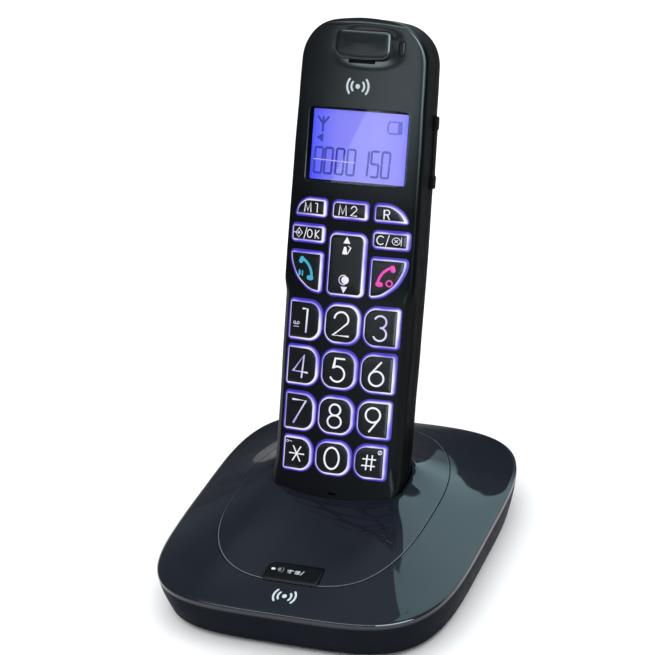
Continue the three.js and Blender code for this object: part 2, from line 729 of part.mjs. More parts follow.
function pagePieces() {
  const tile = shared(upright(pageOutline(0), PAGE.low, 40), raisedForm);
  const stem = upright(circle(0, -47, 1.6, 12), PAGE.stem, PAGE.low + 1);
  const ledHole = upright(circle(PAGE_LED.x, PAGE_LED.y, PAGE_LED.radius + GAP, 12), 0, 60);
  const led = shared(
    upright(circle(PAGE_LED.x, PAGE_LED.y, PAGE_LED.radius, 12), PAGE.low + 1, 40),
    baseForm(-PAGE.proud - PAGE_LED.proud, BASE.foot.z),
  );
  return [
    part("page_button", "handset", cut(joined(tile, stem), ledHole)),
    part("page_led_lens", "clear", led),
  ];
}

function baseBottomCover() {
  const inset = BASE.wall + 0.5;
  const outline = ringAngles.map((angle) => {
    const point = levelPoint(angle, BASE.foot, inset);
    return new THREE.Vector2(point.x, point.y);
  });
  const top = BOTTOM.low + BOTTOM.thickness;
  const plate = upright(outline, BOTTOM.low, top);
  const posts = [[-20, -40], [20, -40], [-20, 36], [20, 36]].map(([x, y]) =>
    upright(circle(x, y, 2, 8), top - 0.5, BASE_BOARD.low - GAP));
  const screwHoles = corners.flatMap(([, sideX, sideY]) => [
    upright(circle(sideX * BASE_SCREW.x, sideY * BASE_SCREW.y, BASE_SCREW.shank + GAP, 10), 0, 10),
    upright(circle(sideX * BASE_SCREW.x, sideY * BASE_SCREW.y, BASE_SCREW.head + GAP, 12), 0, BOTTOM.low + 1.3),
  ]);
  const footRecesses = corners.map(([, sideX, sideY]) =>
    upright(circle(sideX * FOOT.x, sideY * FOOT.y, FOOT.radius + GAP, 16), 0, BOTTOM.low + FOOT.recess));
  return part("base_bottom_cover", "base", cut(joined(plate, ...posts), ...screwHoles, ...footRecesses));
}

function baseBoard() {
  const { halfWidth, front, back, low, thickness } = BASE_BOARD;
  const board = block(-halfWidth, halfWidth, front, back, low, low + thickness);
  const pageSwitch = block(-3, 3, -50, -44, low + thickness - 0.2, PAGE.stem - 1.1);
  return part("base_circuit_board", "board", joined(board, pageSwitch));
}

function baseChargeContacts() {
  return [["left", -1], ["right", 1]].map(([name, side]) => {
    const { x, halfWidth, y, halfDepth } = CONTACT;
    const tip = HANDSET.bottom - GAP;
    const blade = facing(rounded([
      [side * x - halfWidth, tip - 8.5, 0],
      [side * x + halfWidth, tip - 8.5, 0],
      [side * x + halfWidth, tip, 0.8],
      [side * x - halfWidth, tip, 0.8],
    ]), y - halfDepth, y + halfDepth);
    return part(`base_charge_contact_${name}`, "metal", blade);
  });
}

function jacks() {
  const line = LINE_JACK;
  const lineX = (line.left + line.right) / 2;
  const lineZ = (line.low + line.high) / 2;
  const { halfWidth, halfHeight, depth } = LINE_SOCKET;
  const lineSocket = cut(
    block(line.left, line.right, line.front, line.back, line.low, line.high),
    block(
      lineX - halfWidth, lineX + halfWidth, line.back - depth, line.back + 2,
      lineZ - halfHeight, lineZ + halfHeight,
    ),
    block(lineX - 2, lineX + 2, line.back - depth, line.back + 2, lineZ - halfHeight - 1, lineZ),
  );
  const dc = DC_JACK;
  const dcX = (dc.left + dc.right) / 2;
  const dcZ = (dc.low + dc.high) / 2;
  const barrel = facing(circle(dcX, dcZ, DC_SOCKET.radius, 20), dc.back - DC_SOCKET.depth, dc.back + 2);
  const pin = facing(circle(dcX, dcZ, DC_SOCKET.pin, 10), dc.back - DC_SOCKET.depth - 1, dc.back - 1);
  const dcSocket = joined(
    cut(block(dc.left, dc.right, dc.front, dc.back, dc.low, dc.high), barrel), pin,
  );
  return [part("line_jack", "socket", lineSocket), part("dc_jack", "socket", dcSocket)];
}

function feetAndScrews() {
  return corners.flatMap(([name, sideX, sideY]) => {
    const foot = upright(
      circle(sideX * FOOT.x, sideY * FOOT.y, FOOT.radius, 16), 0, BOTTOM.low + FOOT.recess - GAP,
    );
    const { x, y, head, headDepth, shank, length } = BASE_SCREW;
    const fastener = geometryFrom(screw(head, headDepth, shank, length));
    fastener.translate(sideX * x, sideY * y, BOTTOM.low);
    return [
      part(`rubber_foot_${name}`, "rubber", foot),
      part(`base_screw_${name}`, "steel", solidFrom(fastener)),
    ];
  });
}

// ---------------------------------------------------------------- the phone

const handset = new THREE.Group();
handset.add(
  frontCover(),
  rearCover(),
  ...displayPieces(),
  ...earpiecePieces(),
  ...electronics(),
  ...keys(),
  volumeRocker(),
  batteryCell(1),
  batteryCell(2),
  ...batteryContacts(),
  batteryCover(),
  ...handsetScrews(),
  ...handsetChargeContacts(),
  ...baseChargeContacts(),
);
handset.rotation.x = -HANDSET.lean;
handset.position.y = HANDSET.frontY;

const phone = new THREE.Group();
phone.add(
  handset,
  baseTopCover(),
  cradleInsert(),
  ...pagePieces(),
  baseBottomCover(),
  baseBoard(),
  ...jacks(),
  ...feetAndScrews(),
);

// The origin goes under the middle of the whole phone, front to back.
phone.updateMatrixWorld(true);
const extent = new THREE.Box3().setFromObject(phone, true);
phone.position.y = -(extent.min.y + extent.max.y) / 2;

const object = new THREE.Group();
object.add(phone);

export default object;
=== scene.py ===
import json
import math

import bmesh
import bpy
from mathutils import Matrix, Vector
from mathutils.bvhtree import BVHTree
from mathutils.geometry import tessellate_polygon


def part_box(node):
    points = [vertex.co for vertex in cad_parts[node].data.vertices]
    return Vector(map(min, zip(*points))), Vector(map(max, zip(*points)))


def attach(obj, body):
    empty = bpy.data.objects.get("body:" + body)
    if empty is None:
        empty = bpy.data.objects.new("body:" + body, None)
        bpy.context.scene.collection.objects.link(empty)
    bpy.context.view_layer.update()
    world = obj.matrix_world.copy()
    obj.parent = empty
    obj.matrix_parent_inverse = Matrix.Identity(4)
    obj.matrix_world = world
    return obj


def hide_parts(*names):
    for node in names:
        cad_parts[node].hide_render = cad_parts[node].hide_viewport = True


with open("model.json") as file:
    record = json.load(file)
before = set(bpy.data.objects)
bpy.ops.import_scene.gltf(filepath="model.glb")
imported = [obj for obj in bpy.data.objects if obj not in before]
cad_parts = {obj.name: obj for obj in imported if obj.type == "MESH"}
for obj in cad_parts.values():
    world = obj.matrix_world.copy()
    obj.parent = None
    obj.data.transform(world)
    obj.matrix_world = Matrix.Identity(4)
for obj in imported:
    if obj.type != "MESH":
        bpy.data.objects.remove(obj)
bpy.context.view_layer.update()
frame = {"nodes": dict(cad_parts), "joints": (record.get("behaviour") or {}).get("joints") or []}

scene = bpy.context.scene

# ---------------------------------------------------------------- places and sizes

MM = 0.001  # lengths below are in millimetres

# The base is centred under its own top cover. The handset has its own frame: x across, y from its
# front to its back, z up along it, leaning back as its lift joint says.
base_low, base_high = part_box("base_top_cover")
BASE_Y = (base_low.y + base_high.y) / 2 / MM
lift = next(joint for joint in frame["joints"] if joint["name"] == "handset_lift")
LEAN = math.atan2(lift["axis"][1], lift["axis"][2])
HANDSET_FRONT_Y = -21.4
BASE_PLACE = Matrix.Translation((0, BASE_Y * MM, 0))
HANDSET_PLACE = Matrix.Translation((0, (BASE_Y + HANDSET_FRONT_Y) * MM, 0)) @ Matrix.Rotation(-LEAN, 4, "X")

BODY = {
    "bottom": 27,
    "top": 201.3,
    "arch": 0.8,
    "thickness": 24.5,
    "crown_radius": 100,
    "bottom_corner": 10,
    "top_corner": 14.5,
    "back_corner": 8.5,
    "side_end": 15.7,
    "parting": 12,
    "groove": 0.25,
    "wall": 2,
    "grip_top": 109,
    "grip_bottom": 102,
    "front_roll": (1.6, 2.6),
    "back_roll": (4, 8),
}
HALF_WIDTHS = [(27, 24.0), (65, 24.1), (84, 24.4), (115, 24.6), (155, 24.3), (175, 23.9), (202, 23.3)]

# The edge between the front and the sides is a small round. Along the grip it widens to a flat bevel.
EDGE = {"width": 1.7, "depth": 1.9, "grip_width": 0.9, "grip_depth": 2.1, "flatness": 0.78}

# The scoop round the earpiece ends towards the top and, along a slanting line, towards the left.
BOWL = {"x": 2.0, "z": 192.4, "half_width": 14.8, "half_height": 8.2, "power": 2.6, "depth": 1.2}
BOWL_FADE = {"top": (2, 8), "left": (-14, -7), "left_share": 0.3, "slant": 6, "slant_z": (190, 196)}
BOWL_SIDE = (0.4, 1.06)

RIM = {"half_width": 56.25, "half_depth": 66.3, "z": 16.8}
KNEE = {"half_width": 53.4, "half_depth": 62.9, "z": 3.0}
FOOT = {"half_width": 51.8, "half_depth": 60.8, "z": 1.4}
BASE_SQUARENESS = 4.16
SEAM = {"half_width": 37.5, "half_depth": 53.5, "y": 2, "front": 3.2, "back": 2.05, "side_z": 25}
SEAM_DROP = {"front": 5, "back": 4, "power": 2.2}
MOUTH = {"half_width": 25.6, "half_depth": 14.6, "y": 5, "squareness": 5, "z": 29.4}
MOUTH_RISE = {"back": 1.1, "corner": 1.4}
BASE_WALL = 2.2


# ---------------------------------------------------------------- small mathematics


def steps(low, high, count):
    return [low + (high - low) * i / (count - 1) for i in range(count)]


def smooth_step(low, high, value):
    t = min(max((value - low) / (high - low), 0), 1)
    return t * t * (3 - 2 * t)


def signed_power(value, power):
    return math.copysign(abs(value) ** power, value)


def eased(table, value):
    """A smooth curve through (place, size) pairs."""
    if value <= table[0][0]:
        return table[0][1]
    for (a, low), (b, high) in zip(table, table[1:]):
        if value <= b:
            return low + (high - low) * smooth_step(a, b, value)
    return table[-1][1]


# ---------------------------------------------------------------- outlines


def rounded(corners, arc_steps=8):
    """A polygon given as (x, y, corner radius), with its corners turned into arcs."""
    outline = []
    for i, (x, y, radius) in enumerate(corners):
        corner = Vector((x, y))
        if not radius:
            outline.append(corner)
            continue
        before = (Vector(corners[i - 1][:2]) - corner).normalized()
        after = (Vector(corners[(i + 1) % len(corners)][:2]) - corner).normalized()
        half = before.angle(after) / 2
        start = corner + before * (radius / math.tan(half))
        end = corner + after * (radius / math.tan(half))
        centre = corner + (before + after).normalized() * (radius / math.sin(half))
        first = math.atan2(start.y - centre.y, start.x - centre.x)
        turn = math.atan2(end.y - centre.y, end.x - centre.x) - first
        turn -= round(turn / (2 * math.pi)) * 2 * math.pi
        for k in range(arc_steps + 1):
            angle = first + turn * k / arc_steps
            outline.append(centre + Vector((math.cos(angle), math.sin(angle))) * radius)
    return outline


def rectangle(left, right, low, high, radius=0.0, arc_steps=8):
    corners = [(left, low, radius), (right, low, radius), (right, high, radius), (left, high, radius)]
    return rounded(corners, arc_steps)


def ellipse(x, y, half_width, half_height, count=32):
    angles = [2 * math.pi * i / count for i in range(count)]
    return [Vector((x + half_width * math.cos(a), y + half_height * math.sin(a))) for a in angles]


def grown(outline, distance):
    """The outline moved outwards all round. It is given anticlockwise."""
    count = len(outline)
    moved = []
    for i, point in enumerate(outline):
        normals = []
        for a, b in ((outline[i - 1], point), (point, outline[(i + 1) % count])):
            along = (b - a).normalized()
            normals.append(Vector((along.y, -along.x)))
        miter = (normals[0] + normals[1]) / (1 + normals[0].dot(normals[1]))
        moved.append(point + miter * distance)
    return moved


# ---------------------------------------------------------------- meshes


def mesh_object(name, points, faces, place=Matrix.Identity(4)):
    """A mesh of points in millimetres, standing in its own frame."""
    mesh = bpy.data.meshes.new(name)
    mesh.from_pydata([Vector(p) * MM for p in points], [], faces)
    made = bmesh.new()
    made.from_mesh(mesh)
    bmesh.ops.recalc_face_normals(made, faces=made.faces)
    made.to_mesh(mesh)
    made.free()
    piece = bpy.data.objects.new(name, mesh)
    scene.collection.objects.link(piece)
    piece.matrix_world = place
    return piece


def loft(rings):
    """Points and faces of a closed skin through rings of equally many points."""
    count = len(rings[0])
    points = [p for ring in rings for p in ring]
    faces = []
    for r in range(len(rings) - 1):
        for i in range(count):
            a = r * count + i
            b = r * count + (i + 1) % count
            faces.append((a, b, b + count, a + count))
    for ring, start in ((rings[0], 0), (rings[-1], (len(rings) - 1) * count)):
        middle = sum((Vector(p) for p in ring), Vector((0, 0, 0))) / count
        points.append(middle)
        for i in range(count):
            faces.append((start + i, start + (i + 1) % count, len(points) - 1))
    return points, faces


def merged(parts):
    """Several (points, faces) as one."""
    points, faces = [], []
    for part_points, part_faces in parts:
        offset = len(points)
        points += part_points
        faces += [tuple(i + offset for i in face) for face in part_faces]
    return points, faces


def prism(outline, low, high, axis):
    """An outline run along one axis: "z" for an outline in x and y, "y" for x and z, "x" for y and z."""
    order = {
        "z": lambda p, level: (p.x, p.y, level),
        "y": lambda p, level: (p.x, level, p.y),
        "x": lambda p, level: (level, p.x, p.y),
    }[axis]
    return loft([[order(p, level) for p in outline] for level in (low, high)])


def apply_modifiers(piece):
    mesh = bpy.data.meshes.new_from_object(piece.evaluated_get(bpy.context.evaluated_depsgraph_get()))
    piece.modifiers.clear()
    piece.data = mesh


def combine(piece, shape, operation="DIFFERENCE"):
    """Cuts a shape, given as (points, faces) in the piece's own frame, from a piece, or joins the two."""
    tool = mesh_object("tool", *shape, place=piece.matrix_world)
    modifier = piece.modifiers.new("combine", "BOOLEAN")
    modifier.operation = operation
    modifier.solver = "MANIFOLD"
    modifier.object = tool
    apply_modifiers(piece)
    bpy.data.objects.remove(tool)


GLOWING = ("key_glow", "legend_glow", "light_spill", "legend_blue", "legend_pink")


def settle(piece, body, material, stands_for=(), sharp=32):
    """Finishes a piece: its shading, its material, and what it moves with and stands for."""
    piece.data.materials.clear()
    piece.data.materials.append(material)
    for polygon in piece.data.polygons:
        polygon.use_smooth = True
    piece.data.set_sharp_from_angle(angle=math.radians(sharp))
    piece.visible_glossy = material.name not in GLOWING
    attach(piece, body)
    if stands_for:
        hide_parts(*stands_for)


def add(name, shape, body, material, stands_for=(), sharp=32, place=HANDSET_PLACE):
    """A piece that is finished as soon as its shape is made."""
    settle(mesh_object(name, *shape, place=place), body, MATERIALS[material], stands_for, sharp)


# ---------------------------------------------------------------- materials


class Paint:
    """A material's node tree, built one node at a time."""

    def __init__(self, name):
        self.material = bpy.data.materials.new(name)
        self.material.use_nodes = True
        self.nodes = self.material.node_tree.nodes
        self.links = self.material.node_tree.links
        self.shader = self.nodes["Principled BSDF"]
        coordinates = self.nodes.new("ShaderNodeTexCoord")
        self.places = coordinates.outputs["Object"]
        self.facing = coordinates.outputs["Normal"]

    def set(self, **values):
        for key, value in values.items():
            self.shader.inputs[key.replace("_", " ")].default_value = value
        return self

    def link(self, output, socket):
        self.links.new(output, self.shader.inputs[socket])

    def noise(self, scale, detail=4.0, roughness=0.55, places=None):
        node = self.nodes.new("ShaderNodeTexNoise")
        node.inputs["Scale"].default_value = scale
        node.inputs["Detail"].default_value = detail
        node.inputs["Roughness"].default_value = roughness
        self.links.new(places or self.places, node.inputs["Vector"])
        return node.outputs["Fac"]

    def ramp(self, factor, stops):
        node = self.nodes.new("ShaderNodeValToRGB")
        elements = node.color_ramp.elements
        while len(elements) < len(stops):
            elements.new(1.0)
        for element, (position, colour) in zip(elements, stops):
            element.position = position
            element.color = (*colour, 1.0)
        self.links.new(factor, node.inputs["Fac"])
        return node.outputs["Color"]

    def span(self, value, low, high, to_low, to_high):
        node = self.nodes.new("ShaderNodeMapRange")
        for name, number in (("From Min", low), ("From Max", high), ("To Min", to_low), ("To Max", to_high)):
            node.inputs[name].default_value = number
        self.links.new(value, node.inputs["Value"])
        return node.outputs["Result"]

    def axis(self, name, vector=None):
        node = self.nodes.new("ShaderNodeSeparateXYZ")
        self.links.new(vector or self.places, node.inputs["Vector"])
        return node.outputs[name]

    def maths(self, operation, first, second):
        node = self.nodes.new("ShaderNodeMath")
        node.operation = operation
        for i, value in enumerate((first, second)):
            if isinstance(value, (int, float)):
                node.inputs[i].default_value = value
            else:
                self.links.new(value, node.inputs[i])
        return node.outputs["Value"]

    def bump(self, height, strength, distance):
        node = self.nodes.new("ShaderNodeBump")
        node.inputs["Strength"].default_value = strength
        node.inputs["Distance"].default_value = distance
        self.links.new(height, node.inputs["Height"])
        self.link(node.outputs["Normal"], "Normal")


def moulded(name, dark, light, roughness, coat=0.0, coat_roughness=0.03, grain=0.12, specular=0.15,
            mask=None):
    """Moulded plastic: a slight mottle, a fine spark-eroded grain and a little wear in the gloss.

    The mask says where it is lacquered. Without one, the lacquer is the same all over.
    """
    paint = Paint(name)
    if mask:
        paint.link(paint.maths("MULTIPLY", mask(paint), coat), "Coat Weight")
    else:
        paint.set(Coat_Weight=coat)
    paint.link(paint.ramp(paint.noise(90, 3), [(0.35, dark), (0.7, light)]), "Base Color")
    paint.link(paint.span(paint.noise(260, 5), 0.3, 0.7, roughness * 0.85, roughness * 1.15), "Roughness")
    paint.set(Coat_Roughness=coat_roughness, Specular_IOR_Level=specular)
    if grain:
        paint.bump(paint.noise(4200, 2), grain, 0.00002)
    return paint.material


LENS_BLACK = (0.02, 0.02, 0.03, 1)


def lit(name, colour, strength, variation=0.12):
    """A legend or lens that is lit from behind."""
    paint = Paint(name)
    dim = tuple(c * (1 - variation) for c in colour)
    glow = paint.ramp(paint.noise(220, 2), [(0.35, dim), (0.65, colour)])
    paint.link(glow, "Emission Color")
    paint.set(Base_Color=LENS_BLACK, Emission_Strength=strength, Roughness=0.4, Specular_IOR_Level=0.2)
    return paint.material


def legend_glow():
    """The figures on the keys: violet towards the left, white towards the right and the top."""
    paint = Paint("legend_glow")
    level = paint.maths("ADD", paint.noise(48, 1.5), paint.span(paint.axis("X"), -0.018, 0.012, -0.07, 0.12))
    level = paint.maths("ADD", level, paint.span(paint.axis("Z"), 0.108, 0.13, 0, 0.16))
    glow = paint.ramp(level, [
        (0.32, (0.4, 0.35, 0.9)),
        (0.46, (0.7, 0.66, 0.95)),
        (0.56, (0.9, 0.89, 0.97)),
    ])
    paint.link(glow, "Emission Color")
    paint.set(Base_Color=LENS_BLACK, Emission_Strength=1.0, Roughness=0.4, Specular_IOR_Level=0.2)
    return paint.material


def key_glow():
    """The clear skirt of a key, lit from inside: blue-violet at its foot, almost white at its top. A painted
    highlight also follows the way each wall faces: walls facing right and down are whiter, walls facing left
    and up bluer.
    """
    paint = Paint("key_glow")
    x_squared = paint.maths("MULTIPLY", paint.axis("X"), paint.axis("X"))
    crown_depth = paint.maths("MULTIPLY", x_squared, 1 / (2 * BODY["crown_radius"] * MM))
    surface = paint.maths("SUBTRACT", paint.axis("Y"), crown_depth)
    height = paint.span(surface, 0.1 * MM, -1.3 * MM, 0, 0.9)
    patches = paint.span(paint.noise(85, 1.5), 0.35, 0.65, -0.3, 0.26)
    # Painted highlight: walls facing right and down are made whiter, walls facing left and up bluer.
    painted_right_highlight = paint.maths("MULTIPLY", paint.axis("X", paint.facing), 0.26)
    painted_low_highlight = paint.maths("MULTIPLY", paint.axis("Z", paint.facing), -0.14)
    level = paint.maths("ADD", paint.maths("ADD", height, patches), paint.maths("ADD", painted_right_highlight, painted_low_highlight))
    glow = paint.ramp(level, [
        (0.0, (0.05, 0.035, 0.5)),
        (0.25, (0.15, 0.11, 0.8)),
        (0.5, (0.36, 0.28, 0.9)),
        (0.72, (0.62, 0.54, 0.95)),
        (0.95, (0.93, 0.88, 0.98)),
    ])
    paint.link(glow, "Emission Color")
    paint.set(Base_Color=LENS_BLACK, Emission_Strength=1.0, Roughness=0.35, Specular_IOR_Level=0.2)
    return paint.material


def display_glow():
    """The backlight: deep blue at the left edge, violet over the middle, a little uneven."""
    paint = Paint("display_glow")
    across = paint.maths("ADD", paint.axis("X"), paint.maths("MULTIPLY", paint.noise(60, 2), 0.003))
    glow = paint.ramp(paint.span(across, -0.0175, 0.0205, 0, 1), [
        (0.0, (0.02, 0.035, 0.9)),
        (0.12, (0.09, 0.09, 0.86)),
        (0.28, (0.2, 0.18, 0.8)),
        (0.7, (0.27, 0.24, 0.84)),
        (0.93, (0.22, 0.18, 0.9)),
        (1.0, (0.06, 0.07, 0.93)),
    ])
    paint.link(glow, "Emission Color")
    paint.set(Base_Color=(0.02, 0.02, 0.08, 1), Emission_Strength=0.95, Roughness=0.5)
    return paint.material


def clear_pane():
    paint = Paint("clear_pane")
    paint.link(paint.span(paint.noise(500, 3), 0.3, 0.7, 0.0, 0.02), "Roughness")
    paint.set(Base_Color=(0.96, 0.96, 1, 1), Transmission_Weight=1.0, IOR=1.36)
    return paint.material


def metal(name, colour, roughness):
    paint = Paint(name)
    dark = tuple(c * 0.75 for c in colour)
    paint.link(paint.ramp(paint.noise(300, 5), [(0.3, dark), (0.7, colour)]), "Base Color")
    paint.link(paint.span(paint.noise(1500, 4), 0.3, 0.7, roughness * 0.7, roughness * 1.4), "Roughness")
    paint.set(Metallic=1.0)
    return paint.material


def rubbery(name, colour, roughness=0.75):
    paint = Paint(name)
    light = tuple(c * 1.6 for c in colour)
    paint.link(paint.ramp(paint.noise(700, 4), [(0.3, colour), (0.75, light)]), "Base Color")
    worn = paint.span(paint.noise(1200, 4), 0.3, 0.7, roughness * 0.9, min(roughness * 1.1, 1))
    paint.link(worn, "Roughness")
    paint.bump(paint.noise(2600, 3), 0.25, 0.00005)
    return paint.material


def front_lacquer(paint):
    """The handset's lacquer: on its front, and on the bevel beside the number keys."""
    front = paint.span(paint.axis("Y"), 3.2 * MM, 1.9 * MM, 0, 1)
    front = paint.maths("MULTIPLY", front, paint.span(paint.axis("Z"), 135 * MM, 172 * MM, 0.12, 1))
    bevel = paint.span(paint.axis("Y"), 6.6 * MM, 5.4 * MM, 0, 0.12)
    grip = paint.span(paint.axis("Z"), BODY["grip_top"] * MM, BODY["grip_bottom"] * MM, 0, 1)
    return paint.maths("ADD", front, paint.maths("MULTIPLY", bevel, grip))


def top_lacquer(paint):
    """The base's lacquer: on its top, down to the rim, and thinner towards its back."""
    top = paint.span(paint.axis("Z"), (RIM["z"] - 2.4) * MM, (RIM["z"] - 1.4) * MM, 0, 1)
    diagonal = paint.maths("SUBTRACT", paint.axis("Y"), paint.maths("MULTIPLY", paint.axis("X"), 0.5))
    behind = paint.span(diagonal, 3 * MM, 15 * MM, 1, 0.25)
    far_behind = paint.span(paint.axis("Y"), 34 * MM, 52 * MM, 1, 0.25)
    return paint.maths("MULTIPLY", top, paint.maths("MULTIPLY", behind, far_behind))


MATERIALS = {
    "handset": moulded("handset_plastic", (0.0036, 0.0041, 0.0052), (0.0046, 0.0053, 0.0066), 0.4,
                       coat=1.0, coat_roughness=0.24, specular=0.004, mask=front_lacquer),
    "shell": moulded("handset_back_plastic", (0.003, 0.0034, 0.0042), (0.004, 0.0045, 0.0054), 0.42,
                     specular=0.004),
    "base": moulded("base_plastic", (0.0095, 0.0108, 0.0165), (0.0112, 0.0128, 0.019), 0.4,
                    coat=1.0, coat_roughness=0.04, specular=0.01, mask=top_lacquer),
    # Painted highlight: the seam bead is coloured far lighter than the base plastic, standing for the light
    # along the insert's bevelled edge.
    "edge": moulded("seam_highlight_bead", (0.11, 0.135, 0.155), (0.14, 0.165, 0.185), 0.4, grain=0),
    "cap": moulded("key_cap", (0.005, 0.0055, 0.0062), (0.0065, 0.0072, 0.008), 0.3, coat=0.22,
                   coat_roughness=0.16, grain=0),
    "tile": moulded("button_plastic", (0.003, 0.0034, 0.004), (0.0045, 0.005, 0.0056), 0.3, coat=0.5,
                    coat_roughness=0.08),
    "glow": key_glow(),
    "display": display_glow(),
    "pane": clear_pane(),
    "legend": legend_glow(),
    "legend_blue": lit("legend_blue", (0.03, 0.42, 0.62), 1.0),
    "legend_pink": lit("legend_pink", (0.95, 0.04, 0.5), 1.0),
    "print": moulded("printed_white", (0.5, 0.57, 0.6), (0.56, 0.63, 0.66), 0.5, grain=0),
    "print_grey": moulded("printed_grey", (0.12, 0.16, 0.16), (0.15, 0.2, 0.2), 0.5, grain=0),
    "lamp": lit("lamp_white", (1.0, 1.0, 1.0), 1.0),
    "segment": lit("display_segment", (0.01, 0.014, 0.42), 0.9),
    "segment_faint": lit("display_segment_faint", (0.07, 0.065, 0.64), 0.9),
    "segment_pale": lit("display_segment_pale", (0.6, 0.5, 0.9), 1.0),
    "spill": lit("light_spill", (0.035, 0.022, 0.42), 1.0),
    "smoke": moulded("smoked_lens", (0.006, 0.007, 0.009), (0.01, 0.011, 0.014), 0.25, coat=0.12, grain=0),
    "mask": moulded("display_mask", (0.0004, 0.0004, 0.0006), (0.0008, 0.0008, 0.001), 0.5, grain=0,
                    specular=0.01),
    "contact": metal("contact_metal", (0.75, 0.68, 0.5), 0.25),
    "steel": metal("screw_steel", (0.42, 0.42, 0.44), 0.35),
    "rubber": rubbery("foot_rubber", (0.012, 0.012, 0.012)),
    "silicone": rubbery("silicone", (0.3, 0.32, 0.38), 0.5),
    "board": rubbery("circuit_board", (0.006, 0.06, 0.02), 0.4),
    "sleeve": moulded("battery_sleeve", (0.01, 0.1, 0.03), (0.015, 0.14, 0.045), 0.3),
    "socket": moulded("socket_plastic", (0.006, 0.006, 0.007), (0.012, 0.012, 0.013), 0.5),
}


# ---------------------------------------------------------------- handset covers


def crown(x):
    return x * x / (2 * BODY["crown_radius"])


def bowl_depth(x, z):
    """The shallow scoop round the earpiece, fading out towards the top edge."""
    across = abs(x - BOWL["x"]) / BOWL["half_width"]
    along = abs(z - BOWL["z"]) / BOWL["half_height"]
    reach = (across ** BOWL["power"] + along ** BOWL["power"]) ** (1 / BOWL["power"])
    fade = 1 - smooth_step(*BOWL_FADE["top"], z - BOWL["z"])
    slant = BOWL_FADE["slant"] * smooth_step(*BOWL_FADE["slant_z"], z)
    left_share = BOWL_FADE["left_share"]
    fade *= left_share + (1 - left_share) * smooth_step(*BOWL_FADE["left"], x - slant)
    return BOWL["depth"] * (1 - smooth_step(*BOWL_SIDE, reach)) * fade


def end_rounding(z, low, high, low_radius, high_radius):
    """How far a rounded end has turned in at a height."""
    for radius, depth in ((low_radius, low + low_radius - z), (high_radius, z - high + high_radius)):
        if depth > 0:
            return radius - math.sqrt(max(radius * radius - depth * depth, 0))
    return 0.0


def handset_section(z, inset):
    """The handset's section at a height, as (x, y) from the middle of its front round its right side."""
    low, high = BODY["bottom"] + inset, BODY["top"] - inset
    width = eased(HALF_WIDTHS, z) - inset
    width -= end_rounding(z, low, high, BODY["bottom_corner"] - inset, BODY["top_corner"] - inset)
    front = inset + end_rounding(z, low, high, *BODY["front_roll"])
    foot_roll, head_roll = BODY["back_roll"]
    back = BODY["thickness"] - inset - end_rounding(z, low, high, foot_roll, head_roll - inset)
    grip = smooth_step(BODY["grip_top"], BODY["grip_bottom"], z) if not inset else 0
    grip *= smooth_step(BODY["bottom"] + 4, BODY["bottom"] + 18, z)
    edge = min(EDGE["width"] + EDGE["grip_width"] * grip, width * 0.2)
    front_edge = width - edge
    half = []
    front_steps = 30
    for i in range(front_steps + 1):
        x = front_edge * i / front_steps
        scoop = bowl_depth(x, z) if not inset else 0
        half.append((x, front + crown(x) + scoop))
    edge_front = front + crown(front_edge)
    edge_back = edge_front + EDGE["depth"] + EDGE["grip_depth"] * grip
    flat = EDGE["flatness"] * grip
    edge_steps = 8
    for i in range(1, edge_steps + 1):
        t = i / edge_steps
        round_x, round_y = math.sin(t * math.pi / 2), 1 - math.cos(t * math.pi / 2)
        x = front_edge + edge * (round_x * (1 - flat) + t * flat)
        y = edge_front + (edge_back - edge_front) * (round_y * (1 - flat) + t * flat)
        half.append((x, y))
    for y in steps(edge_back, BODY["side_end"], 7)[1:]:
        half.append((width, y))
    corner = min(BODY["back_corner"] - inset / 2, width)
    corner_steps = 8
    for i in range(1, corner_steps + 1):
        angle = i / corner_steps * math.pi / 2
        x = width - corner * (1 - math.cos(angle))
        half.append((x, BODY["side_end"] + (back - BODY["side_end"]) * math.sin(angle)))
    for x in steps(width - corner, 0, 7)[1:]:
        half.append((x, back))
    return half


def handset_ring(z, inset):
    """A whole ring. The scoop isn't symmetric, so the left side is worked out on its own."""
    half = handset_section(z, inset)
    arch = BODY["arch"] * smooth_step(188, BODY["top"], z)
    ring = list(half)
    for x, y in reversed(half[1:-1]):
        scoop = 0 if inset else bowl_depth(-x, z) - bowl_depth(x, z)
        ring.append((-x, y + (scoop if y < 6 else 0)))
    width = max(x for x, _ in half)
    return [(x, y, z + arch * (1 - (x / width) ** 2)) for x, y in ring]


def handset_levels(inset):
    """Heights of the sections: close together at the ends, at the grip's start and over the scoop."""
    low, high = BODY["bottom"] + inset, BODY["top"] - inset
    bottom_radius, top_radius = BODY["bottom_corner"] - inset, BODY["top_corner"] - inset
    levels = [low + bottom_radius * (1 - math.cos(a)) for a in steps(0.02, math.pi / 2, 12)]
    grip_low, grip_high, scoop_low, scoop_high = 100, 112, 183, high - 1.8
    levels += steps(low + bottom_radius, grip_low, 26)[1:] + steps(grip_low, grip_high, 17)[1:]
    levels += steps(grip_high, scoop_low, 26)[1:] + steps(scoop_low, scoop_high, 28)[1:]
    top_start = high - top_radius
    first = math.asin((scoop_high - top_start) / top_radius)
    levels += [top_start + top_radius * math.sin(a) for a in steps(first, math.pi / 2 - 0.02, 10)[1:]]
    return levels


def handset_form(inset):
    return loft([handset_ring(z, inset) for z in handset_levels(inset)])


def local_box(node, place):
    """A CAD node's lowest and highest corners in a piece's own frame, in millimetres."""
    back = place.inverted()
    points = [back @ v.co / MM for v in frame["nodes"][node].data.vertices]
    low = Vector([min(p[i] for p in points) for i in range(3)])
    high = Vector([max(p[i] for p in points) for i in range(3)])
    return low, high


